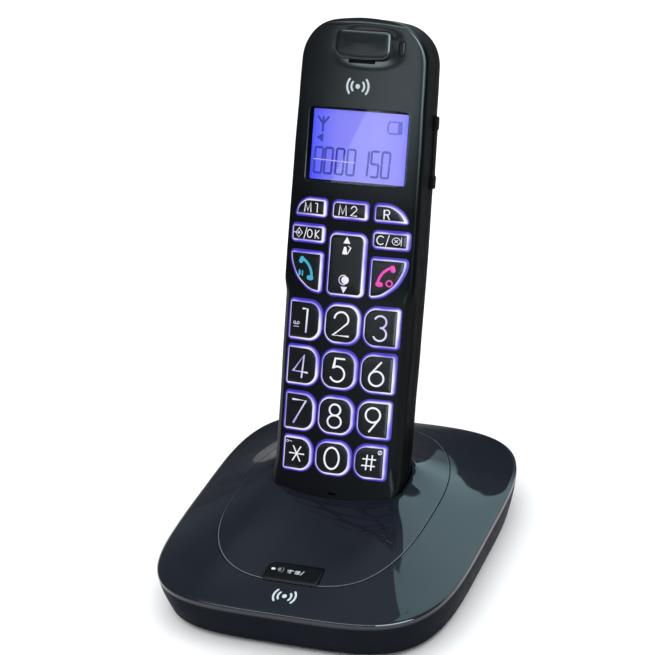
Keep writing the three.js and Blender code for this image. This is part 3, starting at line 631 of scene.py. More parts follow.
def box_outline(node, gap=0.0, radius=0.0, axes="xz", place=HANDSET_PLACE):
    """The outline of a CAD node's box across two axes, with a gap left round it."""
    low, high = local_box(node, place)
    (left, bottom), (right, top) = getattr(low, axes), getattr(high, axes)
    return rectangle(left - gap, right + gap, bottom - gap, top + gap, radius)


def window_outline(offset):
    return grown(box_outline("display_window", radius=1.5), offset)


def box_corners(left, right, low, high, radii):
    """A rectangle's corners from the lower left one round, each with its radius."""
    places = [(left, low), (right, low), (right, high), (left, high)]
    return [(x, y, radius) for (x, y), radius in zip(places, radii)]


# The corner radii of the keys that are plain boxes, from the lower left one round.
KEY_RADII = {
    "key_m2": (1.2, 1.2, 1.2, 2.0),
    "key_ok": (1.4, 1.4, 1.4, 1.4),
    "key_clear": (1.8, 1.2, 1.2, 1.8),
    "key_navigation": (2.2, 2.2, 2.8, 2.8),
}
SOFT, SHARP = 4.8, 1.2  # radii of the number keys: the outer corners of the outer columns are sharp


def key_corners(node):
    """A key's corners, from its CAD solid's box and the shape of its kind."""
    low, high = local_box(node, HANDSET_PLACE)
    if node in KEY_RADII:
        return box_corners(low.x, high.x, low.z, high.z, KEY_RADII[node])
    if low.x * high.x < 0:
        return box_corners(low.x, high.x, low.z, high.z, (SOFT, SOFT, SOFT, SOFT))
    inner, outer = (low.x, high.x) if low.x > 0 else (-high.x, -low.x)
    if node == "key_m1":
        right = [
            (inner, low.z, 1.2), (outer, low.z, 0.7), (outer - 1.1, low.z + 4.2, 4.6),
            (outer - 4.4, high.z, 4.6), (inner, high.z, 1.2),
        ]
    elif node == "key_r":
        right = [
            (inner, low.z, 1.2), (outer, low.z, 0.7), (outer - 1.8, low.z + 3.8, 7.5),
            (outer - 6.3, high.z, 7.5), (inner, high.z, 1.6),
        ]
    elif node in ("key_talk", "key_end"):
        right = [
            (inner, low.z, 1.3), (inner + 4.6, low.z + 0.6, 8), (outer - 3, low.z + 4.8, 11),
            (outer, low.z + 11, 11), (outer, high.z, 1.2), (inner, high.z, 1.2),
        ]
    else:
        right = box_corners(inner, outer, low.z, high.z, (SOFT, SHARP, SHARP, SOFT))
    return right if low.x > 0 else [(-x, y, radius) for x, y, radius in reversed(right)]


def moved_corners(corners, distance):
    """Corners moved outwards, their radii growing with them: an outline that keeps its number of points."""
    places = grown([Vector((x, y)) for x, y, _ in corners], distance)
    return [(p.x, p.y, max(radius + distance, 0.25)) for p, (_, _, radius) in zip(places, corners)]


def key_outline(node, distance=0.0):
    return rounded(moved_corners(key_corners(node), distance))


KEYS = [node for node in frame["nodes"] if node.startswith("key_")]
KEY_GAP = 0.42  # round each key in its hole
CAP_TOP = 1.42  # over the front face

# Outlines for cutting the covers, in x and z. The battery well is a box with its own walls.
BEYOND_HANDSET = rectangle(-40, 40, 0, 260)
WELL_OUTSIDE = rectangle(-13.2, 13.2, 65.2, 118.2)
WELL_INSIDE = rectangle(-12, 12, 66.4, 117)
FRONT_WALL = (-6, 9)  # from well before the front face to behind its wall
GRILLE = {"slots": 5, "pitch": 3.6, "reach": 9, "taper": 1.6, "half_height": 0.8}


def front_cover():
    cover = mesh_object("front_cover", *handset_form(0), place=HANDSET_PLACE)
    combine(cover, handset_form(BODY["wall"]))
    seam = BODY["parting"] - BODY["groove"] / 2
    combine(cover, prism(BEYOND_HANDSET, seam, 60, "y"))
    outlines = [key_outline(node, KEY_GAP) for node in KEYS] + [window_outline(0.2)]
    earpiece_slot = rectangle(-5, 5, 186.0, 187.2, 0.4)
    microphone_slot = rectangle(-0.9, 2.1, 32, 32.9, 0.4)
    outlines += [earpiece_slot, microphone_slot, box_outline("ring_led_lens", 0.15, 1.0)]
    combine(cover, merged([prism(outline, *FRONT_WALL, "y") for outline in outlines]))
    settle(cover, "handset", MATERIALS["handset"], ["handset_front_cover"])


def rear_cover():
    cover = mesh_object("rear_cover", *handset_form(0), place=HANDSET_PLACE)
    combine(cover, handset_form(BODY["wall"]))
    seam = BODY["parting"] + BODY["groove"] / 2
    combine(cover, prism(BEYOND_HANDSET, -20, seam, "y"))
    combine(cover, prism(WELL_OUTSIDE, 10.2, BODY["thickness"] - 1.7, "y"), "UNION")
    door_low, door_high = local_box("battery_cover", HANDSET_PLACE)
    track = rectangle(door_low.x - 0.25, door_high.x + 0.25, 50, door_high.z + 0.25, 2)
    combine(cover, prism(track, door_low.y - 0.25, 60, "y"))
    combine(cover, prism(WELL_INSIDE, 11.4, 60, "y"))
    low, high = local_box("handsfree_speaker", HANDSET_PLACE)
    slots = []
    for i in range(GRILLE["slots"]):
        from_middle = i - GRILLE["slots"] // 2
        z = (low.z + high.z) / 2 + from_middle * GRILLE["pitch"]
        reach = GRILLE["reach"] - GRILLE["taper"] * abs(from_middle)
        slot = rectangle(-reach, reach, z - GRILLE["half_height"], z + GRILLE["half_height"], 0.75)
        slots.append(prism(slot, 18, 60, "y"))
    for side in ("left", "right"):
        low, high = local_box("handset_screw_" + side, HANDSET_PLACE)
        x, z = (low.x + high.x) / 2, (low.z + high.z) / 2
        slots.append(prism(ellipse(x, z, 2.9, 2.9), 21.5, 60, "y"))
        slots.append(prism(box_outline("handset_charge_contact_" + side, 0.2, axes="xy"), 20, 31, "z"))
    slots.append(prism(box_outline("volume_rocker", 0.3, 0.6, "yz"), 15, 40, "x"))
    combine(cover, merged(slots))
    settle(cover, "handset", MATERIALS["shell"], ["handset_rear_cover"])


# ---------------------------------------------------------------- shaped plates and keys


def pillow(outline, levels, lay, inner_rings=3):
    """A plate with shaped edges: levels are (inset, height) from its foot to its top, laid by lay.

    The outline is a list of points, or a function that gives the outline for an inset.
    """
    at_inset = outline if callable(outline) else lambda inset: grown(outline, -inset)
    rings = [[lay(p, height) for p in at_inset(inset)] for inset, height in levels]
    inset, height = levels[-1]
    edge = at_inset(inset)
    middle = sum(edge, Vector((0, 0))) / len(edge)
    for i in range(1, inner_rings + 1):
        share = 1 - i / (inner_rings + 1)
        rings.append([lay(middle + (p - middle) * share, height) for p in edge])
    return loft(rings)


def lay_on_front(p, height):
    return (p.x, crown(p.x) - height, p.y)


def lay_behind(depth):
    return lambda p, height: (p.x, depth - height, p.y)


def key(node):
    def outline(inset):
        return key_outline(node, -inset)

    skirt_levels = [(0, -1.1), (0, 0.0), (0.12, 0.3), (0.5, 1.05), (0.66, 1.18), (0.85, 1.2)]
    skirt = pillow(outline, skirt_levels, lay_on_front)
    add(node + "_skirt", skirt, node, "glow", [node], sharp=60)
    cap_levels = [(0.84, 0.9), (0.84, 1.22), (0.92, 1.3), (1.15, 1.36), (1.9, CAP_TOP)]
    add(node + "_cap", pillow(outline, cap_levels, lay_on_front), node, "cap", sharp=60)


def keypad_light():
    """The lit rim of the keypad mat that shows round each key in its hole."""
    rings = []
    for node in KEYS:
        outer = key_outline(node, KEY_GAP - 0.03)
        inner = key_outline(node, 0.2 if node == "key_navigation" else 0.03)
        levels = [(outer, -1.5), (outer, 0.0), (inner, 0.04), (inner, -1.5)]
        rings.append(closed_tube([[lay_on_front(p, height) for p in ring] for ring, height in levels]))
    add("keypad_light", merged(rings), "handset", "spill")


# ---------------------------------------------------------------- legends


def arc(x, y, radius, first, last, flatten=1.0, count=14):
    """Points on an arc, its angles in degrees."""
    angles = [math.radians(a) for a in steps(first, last, count)]
    return [(x + radius * math.cos(a), y + radius * flatten * math.sin(a)) for a in angles]


def stroke(path, width, lay, relief=0.05, closed=False):
    """A line of one width with round ends, slightly raised, through points laid by lay."""
    path = [Vector(p) for p in path]
    sides = 10
    count = len(path)
    rings = []

    def ring(point, normal, share):
        loop = []
        for k in range(sides):
            angle = 2 * math.pi * k / sides
            place = point + normal * (width / 2 * share * math.cos(angle))
            loop.append(lay(place, relief * share * math.sin(angle)))
        return loop

    def end(point, outward, normal, angles):
        """The sections of a round end."""
        for angle in map(math.radians, angles):
            rings.append(ring(point + outward * (width / 2 * math.sin(angle)), normal, math.cos(angle)))

    for i, point in enumerate(path):
        if closed:
            along = (path[(i + 1) % count] - path[i - 1]).normalized()
        else:
            along = (path[min(i + 1, count - 1)] - path[max(i - 1, 0)]).normalized()
        normal = Vector((-along.y, along.x))
        if i == 0 and not closed:
            end(point, -along, normal, (75, 50, 25))
        miter = 1.0
        if 0 < i < count - 1:
            turn = (path[i + 1] - point).normalized()
            miter = 1 / max(abs(turn.dot(along)), 0.6)
        rings.append(ring(point, normal * miter, 1))
        if i == count - 1 and not closed:
            end(point, along, normal, (25, 50, 75))
    if closed:
        return closed_tube(rings)
    return loft(rings)


def closed_tube(rings):
    """Points and faces of a skin through rings of equally many points, the last joined to the first."""
    sides = len(rings[0])
    points = [p for ring in rings for p in ring]
    faces = []
    for r in range(len(rings)):
        following = (r + 1) % len(rings)
        for i in range(sides):
            j = (i + 1) % sides
            faces.append((r * sides + i, r * sides + j, following * sides + j, following * sides + i))
    return points, faces


def loop_path(x, y, half_width, half_height, count=28):
    return [(p.x, p.y) for p in ellipse(x, y, half_width, half_height, count)]


# Each figure is drawn in a box 8.8 high, centred on x. A stroke is an open path unless it is marked.
CLOSED = "closed"
FIGURES = {
    "1": [[(-1.6, 8.5), (0.2, 8.5), (0.0, 0.2)]],
    "2": [arc(0, 6.1, 2.65, 172, -28, count=16) + [(-2.9, 0.3), (2.9, 0.3)]],
    "3": [arc(-0.1, 6.55, 2.15, 150, -90, count=16) + arc(-0.1, 2.2, 2.35, 90, -152, count=18)[1:]],
    "4": [[(0.3, 0.2), (0.8, 8.2), (-3.3, 2.3), (2.4, 2.1)]],
    "5": [[(2.2, 8.5), (-1.2, 8.5), (-1.7, 4.9)] + arc(-0.2, 2.95, 2.75, 118, -150, count=18)[1:]],
    "6": [[(1.4, 8.6), (-2.2, 4.2)], [CLOSED] + loop_path(0, 2.75, 2.6, 2.6)],
    "7": [[(-2.7, 8.5), (2.6, 8.5), (-1.9, 0.2)]],
    "8": [[CLOSED] + loop_path(0, 6.55, 2.05, 2.0), [CLOSED] + loop_path(0, 2.35, 2.55, 2.25)],
    "9": [[CLOSED] + loop_path(0, 6.15, 2.6, 2.6), [(2.2, 4.7), (-1.0, 0.2)]],
    "0": [[CLOSED] + loop_path(0, 4.4, 3.0, 4.2)],
    "*": [[(-3.1, 4.4), (3.1, 4.4)], [(-1.6, 7.2), (1.6, 1.6)], [(-1.6, 1.6), (1.6, 7.2)]],
    "#": [[(-1.0, 1.6), (-0.7, 7.2)], [(1.0, 1.6), (1.3, 7.2)],
          [(-2.3, 5.7), (2.6, 5.7)], [(-2.6, 3.1), (2.3, 3.1)]],
}
# The small mark beside a figure: its strokes, its place from the figure's middle, its scale and its width.
SMALL_MARKS = {
    "key_1": ([[CLOSED] + loop_path(-0.8, 0, 0.5, 0.5, 12), [CLOSED] + loop_path(0.8, 0, 0.5, 0.5, 12),
               [(-0.8, -0.5), (0.8, -0.5)], [(-1.1, -1.5), (1.1, -1.5)]], (-4.0, -1.2), 0.9, 0.2),
    "key_star": ([[CLOSED] + loop_path(-0.7, 0, 0.45, 0.45, 12), [(-0.2, 0), (1.2, 0)]],
                 (-3.4, 4.2), 0.95, 0.22),
    "key_hash": ([[CLOSED] + loop_path(0, 0, 0.75, 0.75, 14), [(-0.4, -0.8), (0.4, 0.8)]],
                 (3.8, 3.9), 0.9, 0.22),
}
LETTERS = {
    "M": [[(-1.6, 0), (-1.3, 4), (0, 0.4), (1.3, 4), (1.6, 0)]],
    "1": [[(-0.7, 3.9), (0.2, 3.9), (0.2, 0)]],
    "2": [arc(0, 2.8, 1.15, 170, -28, count=10) + [(-1.3, 0.05), (1.3, 0.05)]],
    "R": [[(-1.1, 0), (-1.1, 3.9), (0.2, 3.9)] + arc(0.2, 2.9, 1.0, 80, -90, count=9) + [(-1.0, 1.9)],
          [(0.2, 1.9), (1.2, 0)]],
    "O": [[CLOSED] + loop_path(0, 2, 1.35, 1.95, 18)],
    "K": [[(-0.9, 0), (-0.9, 3.9)], [(1.0, 3.9), (-0.8, 1.9), (1.1, 0)]],
    "C": [arc(0.1, 2, 1.75, 48, 312, 1.1, count=16)],
    "/": [[(-0.6, -0.4), (0.6, 4.3)]],
}


def drawn(strokes, x, z, scale, width, lay):
    """Strokes moved to a place, as a list of solids."""
    solids = []
    for path in strokes:
        closed = path[0] == CLOSED
        points = [(x + px * scale, z + pz * scale) for px, pz in (path[1:] if closed else path)]
        solids.append(stroke(points, width, lay, closed=closed))
    return solids


def plate(outline, lay, relief=0.05):
    """A flat printed shape with a very small thickness."""
    return loft([[lay(p, -relief) for p in outline], [lay(p, relief) for p in outline]])


def lay_on_cap(p, height):
    return (p.x, crown(p.x) - CAP_TOP - height, p.y)


def legend(node, solids, material="legend"):
    add(node + "_legend", merged(solids), node, material, sharp=60)


def key_middle(node):
    low, high = local_box(node, HANDSET_PLACE)
    return (low.x + high.x) / 2, (low.z + high.z) / 2


def number_legends():
    names = {"key_star": "*", "key_hash": "#"}
    for node in KEYS:
        figure = names.get(node, node[4:])
        if figure not in FIGURES:
            continue
        x, z = key_middle(node)
        scale = 0.92 if node in ("key_star", "key_0", "key_hash") else 1.0
        if node == "key_1":
            x += 0.9
        width = 0.5 if node in ("key_star", "key_hash") else 0.66
        solids = drawn(FIGURES[figure], x, z - 4.4 * scale, scale, width, lay_on_cap)
        if node in SMALL_MARKS:
            strokes, (right, up), mark_scale, mark_width = SMALL_MARKS[node]
            solids += drawn(strokes, x + right, z + up, mark_scale, mark_width, lay_on_cap)
        legend(node, solids)


def word(text, x, z, scale, pitch, width):
    solids = []
    start = x - pitch * (len(text) - 1) / 2
    for i, letter in enumerate(text):
        solids += drawn(LETTERS[letter], start + pitch * i, z - 2 * scale, scale, width, lay_on_cap)
    return solids


# Words alone on a key: their place from its middle, their scale, the pitch of the letters and their width.
KEY_WORDS = {
    "key_m1": ("M1", (0.9, -0.1), 0.8, 3.6, 0.36),
    "key_m2": ("M2", (-0.3, -0.1), 0.86, 4.2, 0.36),
    "key_r": ("R", (-1.4, -0.3), 0.82, 3, 0.38),
}


def function_legends():
    for node, (text, (right, up), scale, pitch, width) in KEY_WORDS.items():
        x, z = key_middle(node)
        legend(node, word(text, x + right, z + up, scale, pitch, width))
    x, z = key_middle("key_ok")
    ok = drawn([[CLOSED, (-1.5, 0), (0, 1.9), (1.5, 0), (0, -1.9)], [(-2.3, 0), (0.3, 0)],
                [(-0.3, 0.6), (0.4, 0), (-0.3, -0.6)]], x - 3.4, z, 0.9, 0.24, lay_on_cap)
    ok += drawn(LETTERS["/"], x - 0.8, z - 1.6, 0.82, 0.3, lay_on_cap)
    ok += word("OK", x + 2.4, z, 0.72, 2.9, 0.34)
    legend("key_ok", ok)
    x, z = key_middle("key_clear")
    clear = word("C", x - 3.4, z, 0.78, 3, 0.36)
    clear += drawn(LETTERS["/"], x - 0.9, z - 1.6, 0.82, 0.3, lay_on_cap)
    clear += drawn([[CLOSED] + loop_path(0, 0, 1.5, 1.35, 18), [(-0.6, -0.5), (0.6, 0.5)],
                    [(-0.6, 0.5), (0.6, -0.5)], [(1.9, -1.5), (1.9, 1.5)]],
                   x + 2.2, z, 0.95, 0.22, lay_on_cap)
    legend("key_clear", clear)


def triangle(x, z, half_width, height):
    corners = [(x - half_width, z), (x + half_width, z), (x, z + height)]
    if height < 0:
        corners.reverse()
    return [Vector(c) for c in corners]


def navigation_legend():
    x, z = key_middle("key_navigation")
    top, bottom = z + 7.6, z - 7.6
    solids = [plate(triangle(x, top, 1.3, 2.4), lay_on_cap)]
    bell = [(-1.5, -3.9), (0.5, -3.9), (-0.1, -1.2), (-0.9, -1.2)]
    solids.append(plate(rounded([(x + right, top + up, 0.3) for right, up in bell]), lay_on_cap))
    book = [(0.6, -3.6), (1.6, -1.4), (0.7, -0.9)]
    solids += drawn([book], x, top, 1.0, 0.3, lay_on_cap)
    solids.append(plate(ellipse(x + 0.3, bottom + 2.2, 1.4, 1.4), lay_on_cap))
    solids += drawn([arc(-0.1, 2.2, 1.7, 70, 290, count=12)], x - 0.2, bottom, 1.0, 0.3, lay_on_cap)
    solids.append(plate(triangle(x, bottom - 0.2, 1.2, -2.3), lay_on_cap))
    legend("key_navigation", solids)


def receiver(x, z, turn, lay):
    """A telephone receiver: a bent handle with a block at each end."""
    cos, sin = math.cos(turn), math.sin(turn)

    def turned(points):
        return [(x + px * cos - pz * sin, z + px * sin + pz * cos) for px, pz in points]

    handle = stroke(turned(arc(0, -6.4, 7.0, 122, 58, count=12)), 0.95, lay)
    ends = [stroke(turned([(side * 3.9, -0.7), (side * 3.35, -1.5)]), 1.7, lay) for side in (-1, 1)]
    return [handle, *ends]


def call_legends():
    x, z = key_middle("key_talk")
    talk = receiver(x + 1.2, z + 1.6, math.radians(-58), lay_on_cap)
    speaker = rounded([(-0.7, -1.5, 0.2), (0.3, -0.9, 0.2), (0.3, 0.9, 0.2), (-0.5, 1.5, 0.2)])
    talk.append(plate([p * 0.9 + Vector((x - 2.0, z - 0.6)) for p in speaker], lay_on_cap))
    talk += drawn([[(0, -0.9), (0, 0.7)]], x - 1.0, z - 0.6, 0.9, 0.55, lay_on_cap)
    legend("key_talk", talk, "legend_blue")
    x, z = key_middle("key_end")
    end = receiver(x - 1.3, z + 1.6, math.radians(52), lay_on_cap)
    end += drawn([[CLOSED] + loop_path(0, 0, 1.05, 1.05, 18)], x + 0.9, z - 1.4, 1.0, 0.5, lay_on_cap)
    legend("key_end", end, "legend_pink")


# ---------------------------------------------------------------- display

DISPLAY_FRONT = 3.5
PANE_LEAN = math.radians(1.6)
PANE_THICKNESS = 0.5


def display():
    outline = box_outline("lcd_module", radius=0.4)
    panel = pillow(outline, [(0, -1.8), (0, -0.1), (0.15, 0)], lay_behind(DISPLAY_FRONT))
    add("display_panel", panel, "handset", "display", ["lcd_module"])

    pane_low, pane_high = local_box("display_window", HANDSET_PLACE)
    outline = rectangle(pane_low.x, pane_high.x, pane_low.z, pane_high.z, 1.4)
    pane = mesh_object("window_pane", *leaning_slab(pane_low, pane_high), place=HANDSET_PLACE)
    combine(pane, prism(outline, -3, 9, "y"), "INTERSECT")
    settle(pane, "handset", MATERIALS["pane"], ["display_window"])

    left, right, foot, head = 1.75, 0.35, 0.7, 0.75
    view = rectangle(pane_low.x + left, pane_high.x - right, pane_low.z + foot, pane_high.z - head, 0.5)
    mask = mesh_object("display_mask", *prism(outline, 1.95, 2.25, "y"), place=HANDSET_PLACE)
    combine(mask, prism(view, 0, 5, "y"))
    settle(mask, "handset", MATERIALS["mask"])


def leaning_slab(low, high):
    """The pane follows the crown of the front, and its top leans back a little further than the front."""
    columns = steps(low.x - 1, high.x + 1, 41)
    rings = []
    for z in (low.z - 1, high.z + 1):
        sunk = 0.35 + (z - low.z) * math.tan(PANE_LEAN)
        front = [(x, crown(x) * 0.9 + sunk) for x in columns]
        back = [(x, y + PANE_THICKNESS) for x, y in reversed(front)]
        rings.append([(x, y, z) for x, y in front + back])
    return loft(rings)


SEGMENTS = {
    "a": [(-1, 8.6), (1, 8.6)],
    "b": [(1.35, 8.2), (1.25, 4.8)],
    "c": [(1.2, 4.0), (1.1, 0.6)],
    "d": [(-1.1, 0.2), (0.9, 0.2)],
    "e": [(-1.35, 4.0), (-1.4, 0.6)],
    "f": [(-1.25, 8.2), (-1.3, 4.8)],
    "g": [(-0.9, 4.4), (0.9, 4.4)],
}
DIGITS = {"0": "abcdef", "1": "bc", "5": "acdfg"}


def display_figures():
    """The symbols on the display: a row of tall segment digits, an aerial, a battery and a pointer."""
    lay = lay_behind(DISPLAY_FRONT)
    dark, faint = [], []
    places = [-14.6, -10.8, -6.5, -2.3, 2.7, 6.7, 10.7]
    foot, wider, taller = 146.2, 1.12, 1.08
    for x, digit in zip(places, "0000150"):
        for name in DIGITS[digit]:
            segment = [(x + px * wider, foot + pz * taller) for px, pz in SEGMENTS[name]]
            dark.append(stroke(segment, 0.78, lay))
    aerial = [[(0, 0), (0, 4.3)], [(0, 2.3), (-1.7, 4.4)], [(0, 2.3), (1.7, 4.4)]]
    dark += drawn(aerial, -13.8, 161.4, 1.12, 0.8, lay)
    dark.append(plate([Vector(p) for p in ((-16.0, 159.0), (-13.4, 157.4), (-13.4, 160.6))], lay))
    battery = [[(3.4, 0), (0.6, 0), (0, 0.6), (0, 3.0), (0.6, 3.6), (3.4, 3.6)]]
    faint += drawn(battery, 10.6, 162.2, 1.15, 0.5, lay)
    faint.append(plate(rectangle(14.3, 16.0, 162.0, 166.6), lay))
    add("display_figures", merged(dark), "handset", "segment")
    add("display_battery_symbol", merged(faint), "handset", "segment_faint")
    rule = stroke([(-16.4, 151.3), (-1.0, 150.9)], 0.3, lambda p, height: lay(p, height + 0.06))
    add("display_rule", rule, "handset", "segment_pale")


def window_frame():
    """The fine bevelled lip round the display window."""
    outer, inner = window_outline(0.22), window_outline(-0.3)
    loops = [
        [lay_on_front(p, -0.6) for p in outer],
        [lay_on_front(p, 0.06) for p in outer],
        [lay_on_front(p, 0.1) for p in grown(outer, -0.14)],
        [lay_on_front(p, -0.28) for p in inner],
        [lay_on_front(p, -0.6) for p in inner],
    ]
    add("window_frame", closed_tube(loops), "handset", "smoke", sharp=50)


# ---------------------------------------------------------------- small handset pieces


def earpiece():
    low, high = local_box("earpiece_pad", HANDSET_PLACE)
    outline = rounded([
        (low.x, low.z + 0.5, 3.4), (0, low.z - 0.1, 40), (high.x, low.z + 0.5, 3.4),
        (high.x - 0.3, high.z, 1.8), (low.x + 0.6, high.z, 2.6),
    ], 10)

    def lay(p, height):
        """Sunk at its left and top, into the face, and proud of the scoop at its right and foot."""
        at_left = 0.42 * smooth_step(low.x + 9, low.x, p.x)
        at_top = 0.4 * smooth_step(high.z - 5, high.z, p.y)
        deepest = 0.5
        return (p.x, 0.1 + min(at_left + at_top, deepest) - height, p.y)

    levels = [(0, -1.2), (0, 0.0), (0.2, 0.2), (0.6, 0.36), (1.3, 0.46), (2.2, 0.5)]
    pad = pillow(outline, levels, lay, 4)
    add("earpiece", pad, "handset", "handset", ["earpiece_pad"], sharp=60)

    levels = [(0, -2.4), (0, -0.2), (0.15, 0.0), (0.4, 0.1)]
    lens = pillow(box_outline("ring_led_lens", radius=0.9), levels, lay_behind(1.05), 2)
    add("ring_light", lens, "handset", "smoke", ["ring_led_lens"], sharp=60)


def volume_rocker():
    """A bar with a raised thumb rest at each end and a dip between them."""
    low, high = local_box("volume_rocker", HANDSET_PLACE)
    depth = 3.6
    end_profile = [(0, 0.35), (0.25, 0.7), (0.7, 0.82), (4.2, 0.82), (4.2 + 0.9, 0.35)]
    profile = [(low.z + along, proud) for along, proud in end_profile]
    profile += [(high.z - along, proud) for along, proud in reversed(end_profile)]
    rings = []
    for z, proud in profile:
        outer = eased(HALF_WIDTHS, z) + proud
        inner = outer - depth
        ring = rounded([(inner, low.y, 0), (outer, low.y, 0.7), (outer, high.y, 0.7), (inner, high.y, 0)], 5)
        rings.append([(p.x, p.y, z) for p in ring])
    add("volume_bar", loft(rings), "volume_rocker", "shell", ["volume_rocker"], sharp=50)


def battery_door():
    low, high = local_box("battery_cover", HANDSET_PLACE)

    def lay(p, height):
        return (p.x, low.y + height, p.y)

    levels = [(0, 0), (0, 0.9), (0.12, 1.12), (0.35, 1.2)]
    shape = pillow(box_outline("battery_cover", radius=2), levels, lay)
    door = mesh_object("battery_door", *shape, place=HANDSET_PLACE)
    grips = []
    for i in range(4):
        z = low.z + 5 + 1.7 * i
        reach = 5 - 0.6 * i
        groove = rectangle(-reach, reach, z - 0.35, z + 0.35, 0.34)
        grips.append(prism(groove, high.y - 0.35, high.y + 2, "y"))
    combine(door, merged(grips))
    settle(door, "battery_cover", MATERIALS["shell"], ["battery_cover"])


# ---------------------------------------------------------------- base covers


def superellipse(angle, half_width, half_depth, exponent, centre_y, z):
    x = half_width * signed_power(math.cos(angle), 2 / exponent)
    y = centre_y + half_depth * signed_power(math.sin(angle), 2 / exponent)
    return Vector((x, y, z))


def level_point(angle, level, inset=0.0):
    return superellipse(
        angle, level["half_width"] - inset, level["half_depth"] - inset, BASE_SQUARENESS, 0, level["z"])


def seam_point(angle, inset=0.0):
    side = "front" if math.sin(angle) < 0 else "back"
    z = SEAM["side_z"] - SEAM_DROP[side] * abs(math.sin(angle)) ** SEAM_DROP["power"]
    return superellipse(
        angle, SEAM["half_width"] - inset, SEAM["half_depth"] - inset, SEAM[side], SEAM["y"], z)


def mouth_point(angle, inset=0.0):
    corner = abs(math.sin(angle) * math.cos(angle)) ** (4 / MOUTH["squareness"])
    z = MOUTH["z"] + MOUTH_RISE["back"] * math.sin(angle) + MOUTH_RISE["corner"] * corner
    return superellipse(
        angle, MOUTH["half_width"] - inset, MOUTH["half_depth"] - inset, MOUTH["squareness"], MOUTH["y"], z)


def dome_point(angle, s, inset=0.0):
    """A point on the base's top: s is 0 at the rim, 1 at the seam and 2 at the mouth."""
    rim = level_point(angle, RIM, inset)
    seam = seam_point(angle, inset)
    mouth = mouth_point(angle, inset)
    outer = (rim - seam).length
    middle = outer / (outer + (seam - mouth).length)
    t = s * middle if s <= 1 else middle + (s - 1) * (1 - middle)
    point = rim * ((t - middle) * (t - 1) / middle)
    point += seam * (t * (t - 1) / (middle * (middle - 1)))
    point += mouth * (t * (t - middle) / (1 - middle))
    return point - Vector((0, 0, inset))


# A superellipse's points crowd into its corners, so these angles are eased to spread them out.
RING_COUNT = 240
EASING = 1.9
ring_angles = []
for i in range(RING_COUNT):
    even = 2 * math.pi * (i + 0.5) / RING_COUNT
    ring_angles.append(math.atan2(signed_power(math.sin(even), EASING), signed_power(math.cos(even), EASING)))


def dome_ring(s, inset=0.0):
    return [dome_point(angle, s, inset) for angle in ring_angles]


def base_form(inset):
    """The base's whole outer form as one solid, or the same a wall's thickness further in."""
    foot, knee, rim = ([level_point(a, level, inset) for a in ring_angles] for level in (FOOT, KNEE, RIM))
    rings = []
    if inset:
        rings.append([Vector((p.x, p.y, -5)) for p in foot])
        rings.append(knee)
    else:
        rings.append(foot)
        for t in steps(0, math.pi / 2, 5)[1:]:
            out, up = math.sin(t), 1 - math.cos(t)
            rings.append([
                Vector((f.x + (k.x - f.x) * out, f.y + (k.y - f.y) * out, f.z + (k.z - f.z) * up))
                for f, k in zip(foot, knee)
            ])
    bulge = 0.5
    for t in steps(0, 0.9, 7)[1:]:
        out = bulge * math.sin(math.pi * t)
        rings.append([k.lerp(r, t) + Vector((r.x, r.y, 0)).normalized() * out for k, r in zip(knee, rim)])
    # The wall rolls over into the top between these two places.
    wall_end = 0.93
    roll = 0.09
    start = [k.lerp(r, wall_end) for k, r in zip(knee, rim)]
    end = dome_ring(roll)
    for t in steps(0, 1, 8):
        ring = []
        for a, b, c in zip(start, rim, end):
            ring.append(a * (1 - t) ** 2 + b * 2 * t * (1 - t) + c * t ** 2 - Vector((0, 0, inset)))
        rings.append(ring)
    for s in steps(roll, 1, 22)[1:] + steps(1, 2, 22)[1:]:
        rings.append(dome_ring(s, inset))
    middle = sum(rings[-1], Vector()) / RING_COUNT
    for share in (0.7, 0.35):
        rings.append([middle + (p - middle) * share for p in rings[-1]])
    return loft(rings)


def seam_outline(offset):
    return grown([Vector((p.x, p.y)) for p in (seam_point(a) for a in ring_angles)], offset)


def page_outline(offset):
    low, high = local_box("page_button", BASE_PLACE)
    return grown(rounded(box_corners(low.x, high.x, low.y, high.y, (1.2, 0.8, 0.8, 3.4))), offset)


SEAM_GAP = 0.17
PAGE_GAP = 0.3


def jack_window(node):
    return prism(box_outline(node, 0.4, 0.6, place=BASE_PLACE), 55, 80, "y")


def top_cover():
    cover = mesh_object("top_cover", *base_form(0), place=BASE_PLACE)
    combine(cover, base_form(BASE_WALL))
    combine(cover, prism(seam_outline(SEAM_GAP), 8, 60, "z"))
    cuts = [prism(page_outline(PAGE_GAP), 10, 40, "z"), jack_window("line_jack"), jack_window("dc_jack")]
    combine(cover, merged(cuts))
    settle(cover, "base", MATERIALS["base"], ["base_top_cover"])


def pocket_section(offset):
    """The handset's section near its lower end, grown to leave room round it."""
    ring = [Vector((x, y)) for x, y, _ in handset_ring(60, 0)]
    area = sum(a.x * b.y - a.y * b.x for a, b in zip(ring, ring[1:] + ring[:1]))
    if area < 0:
        ring.reverse()
    return grown(ring, offset)


# The pocket is a cup that hangs from the insert. Heights are along the handset.
CUP = {"outside": 24.4, "outside_top": 44, "inside": 26.4, "inside_top": 120, "wall": 2.15, "room": 0.45}


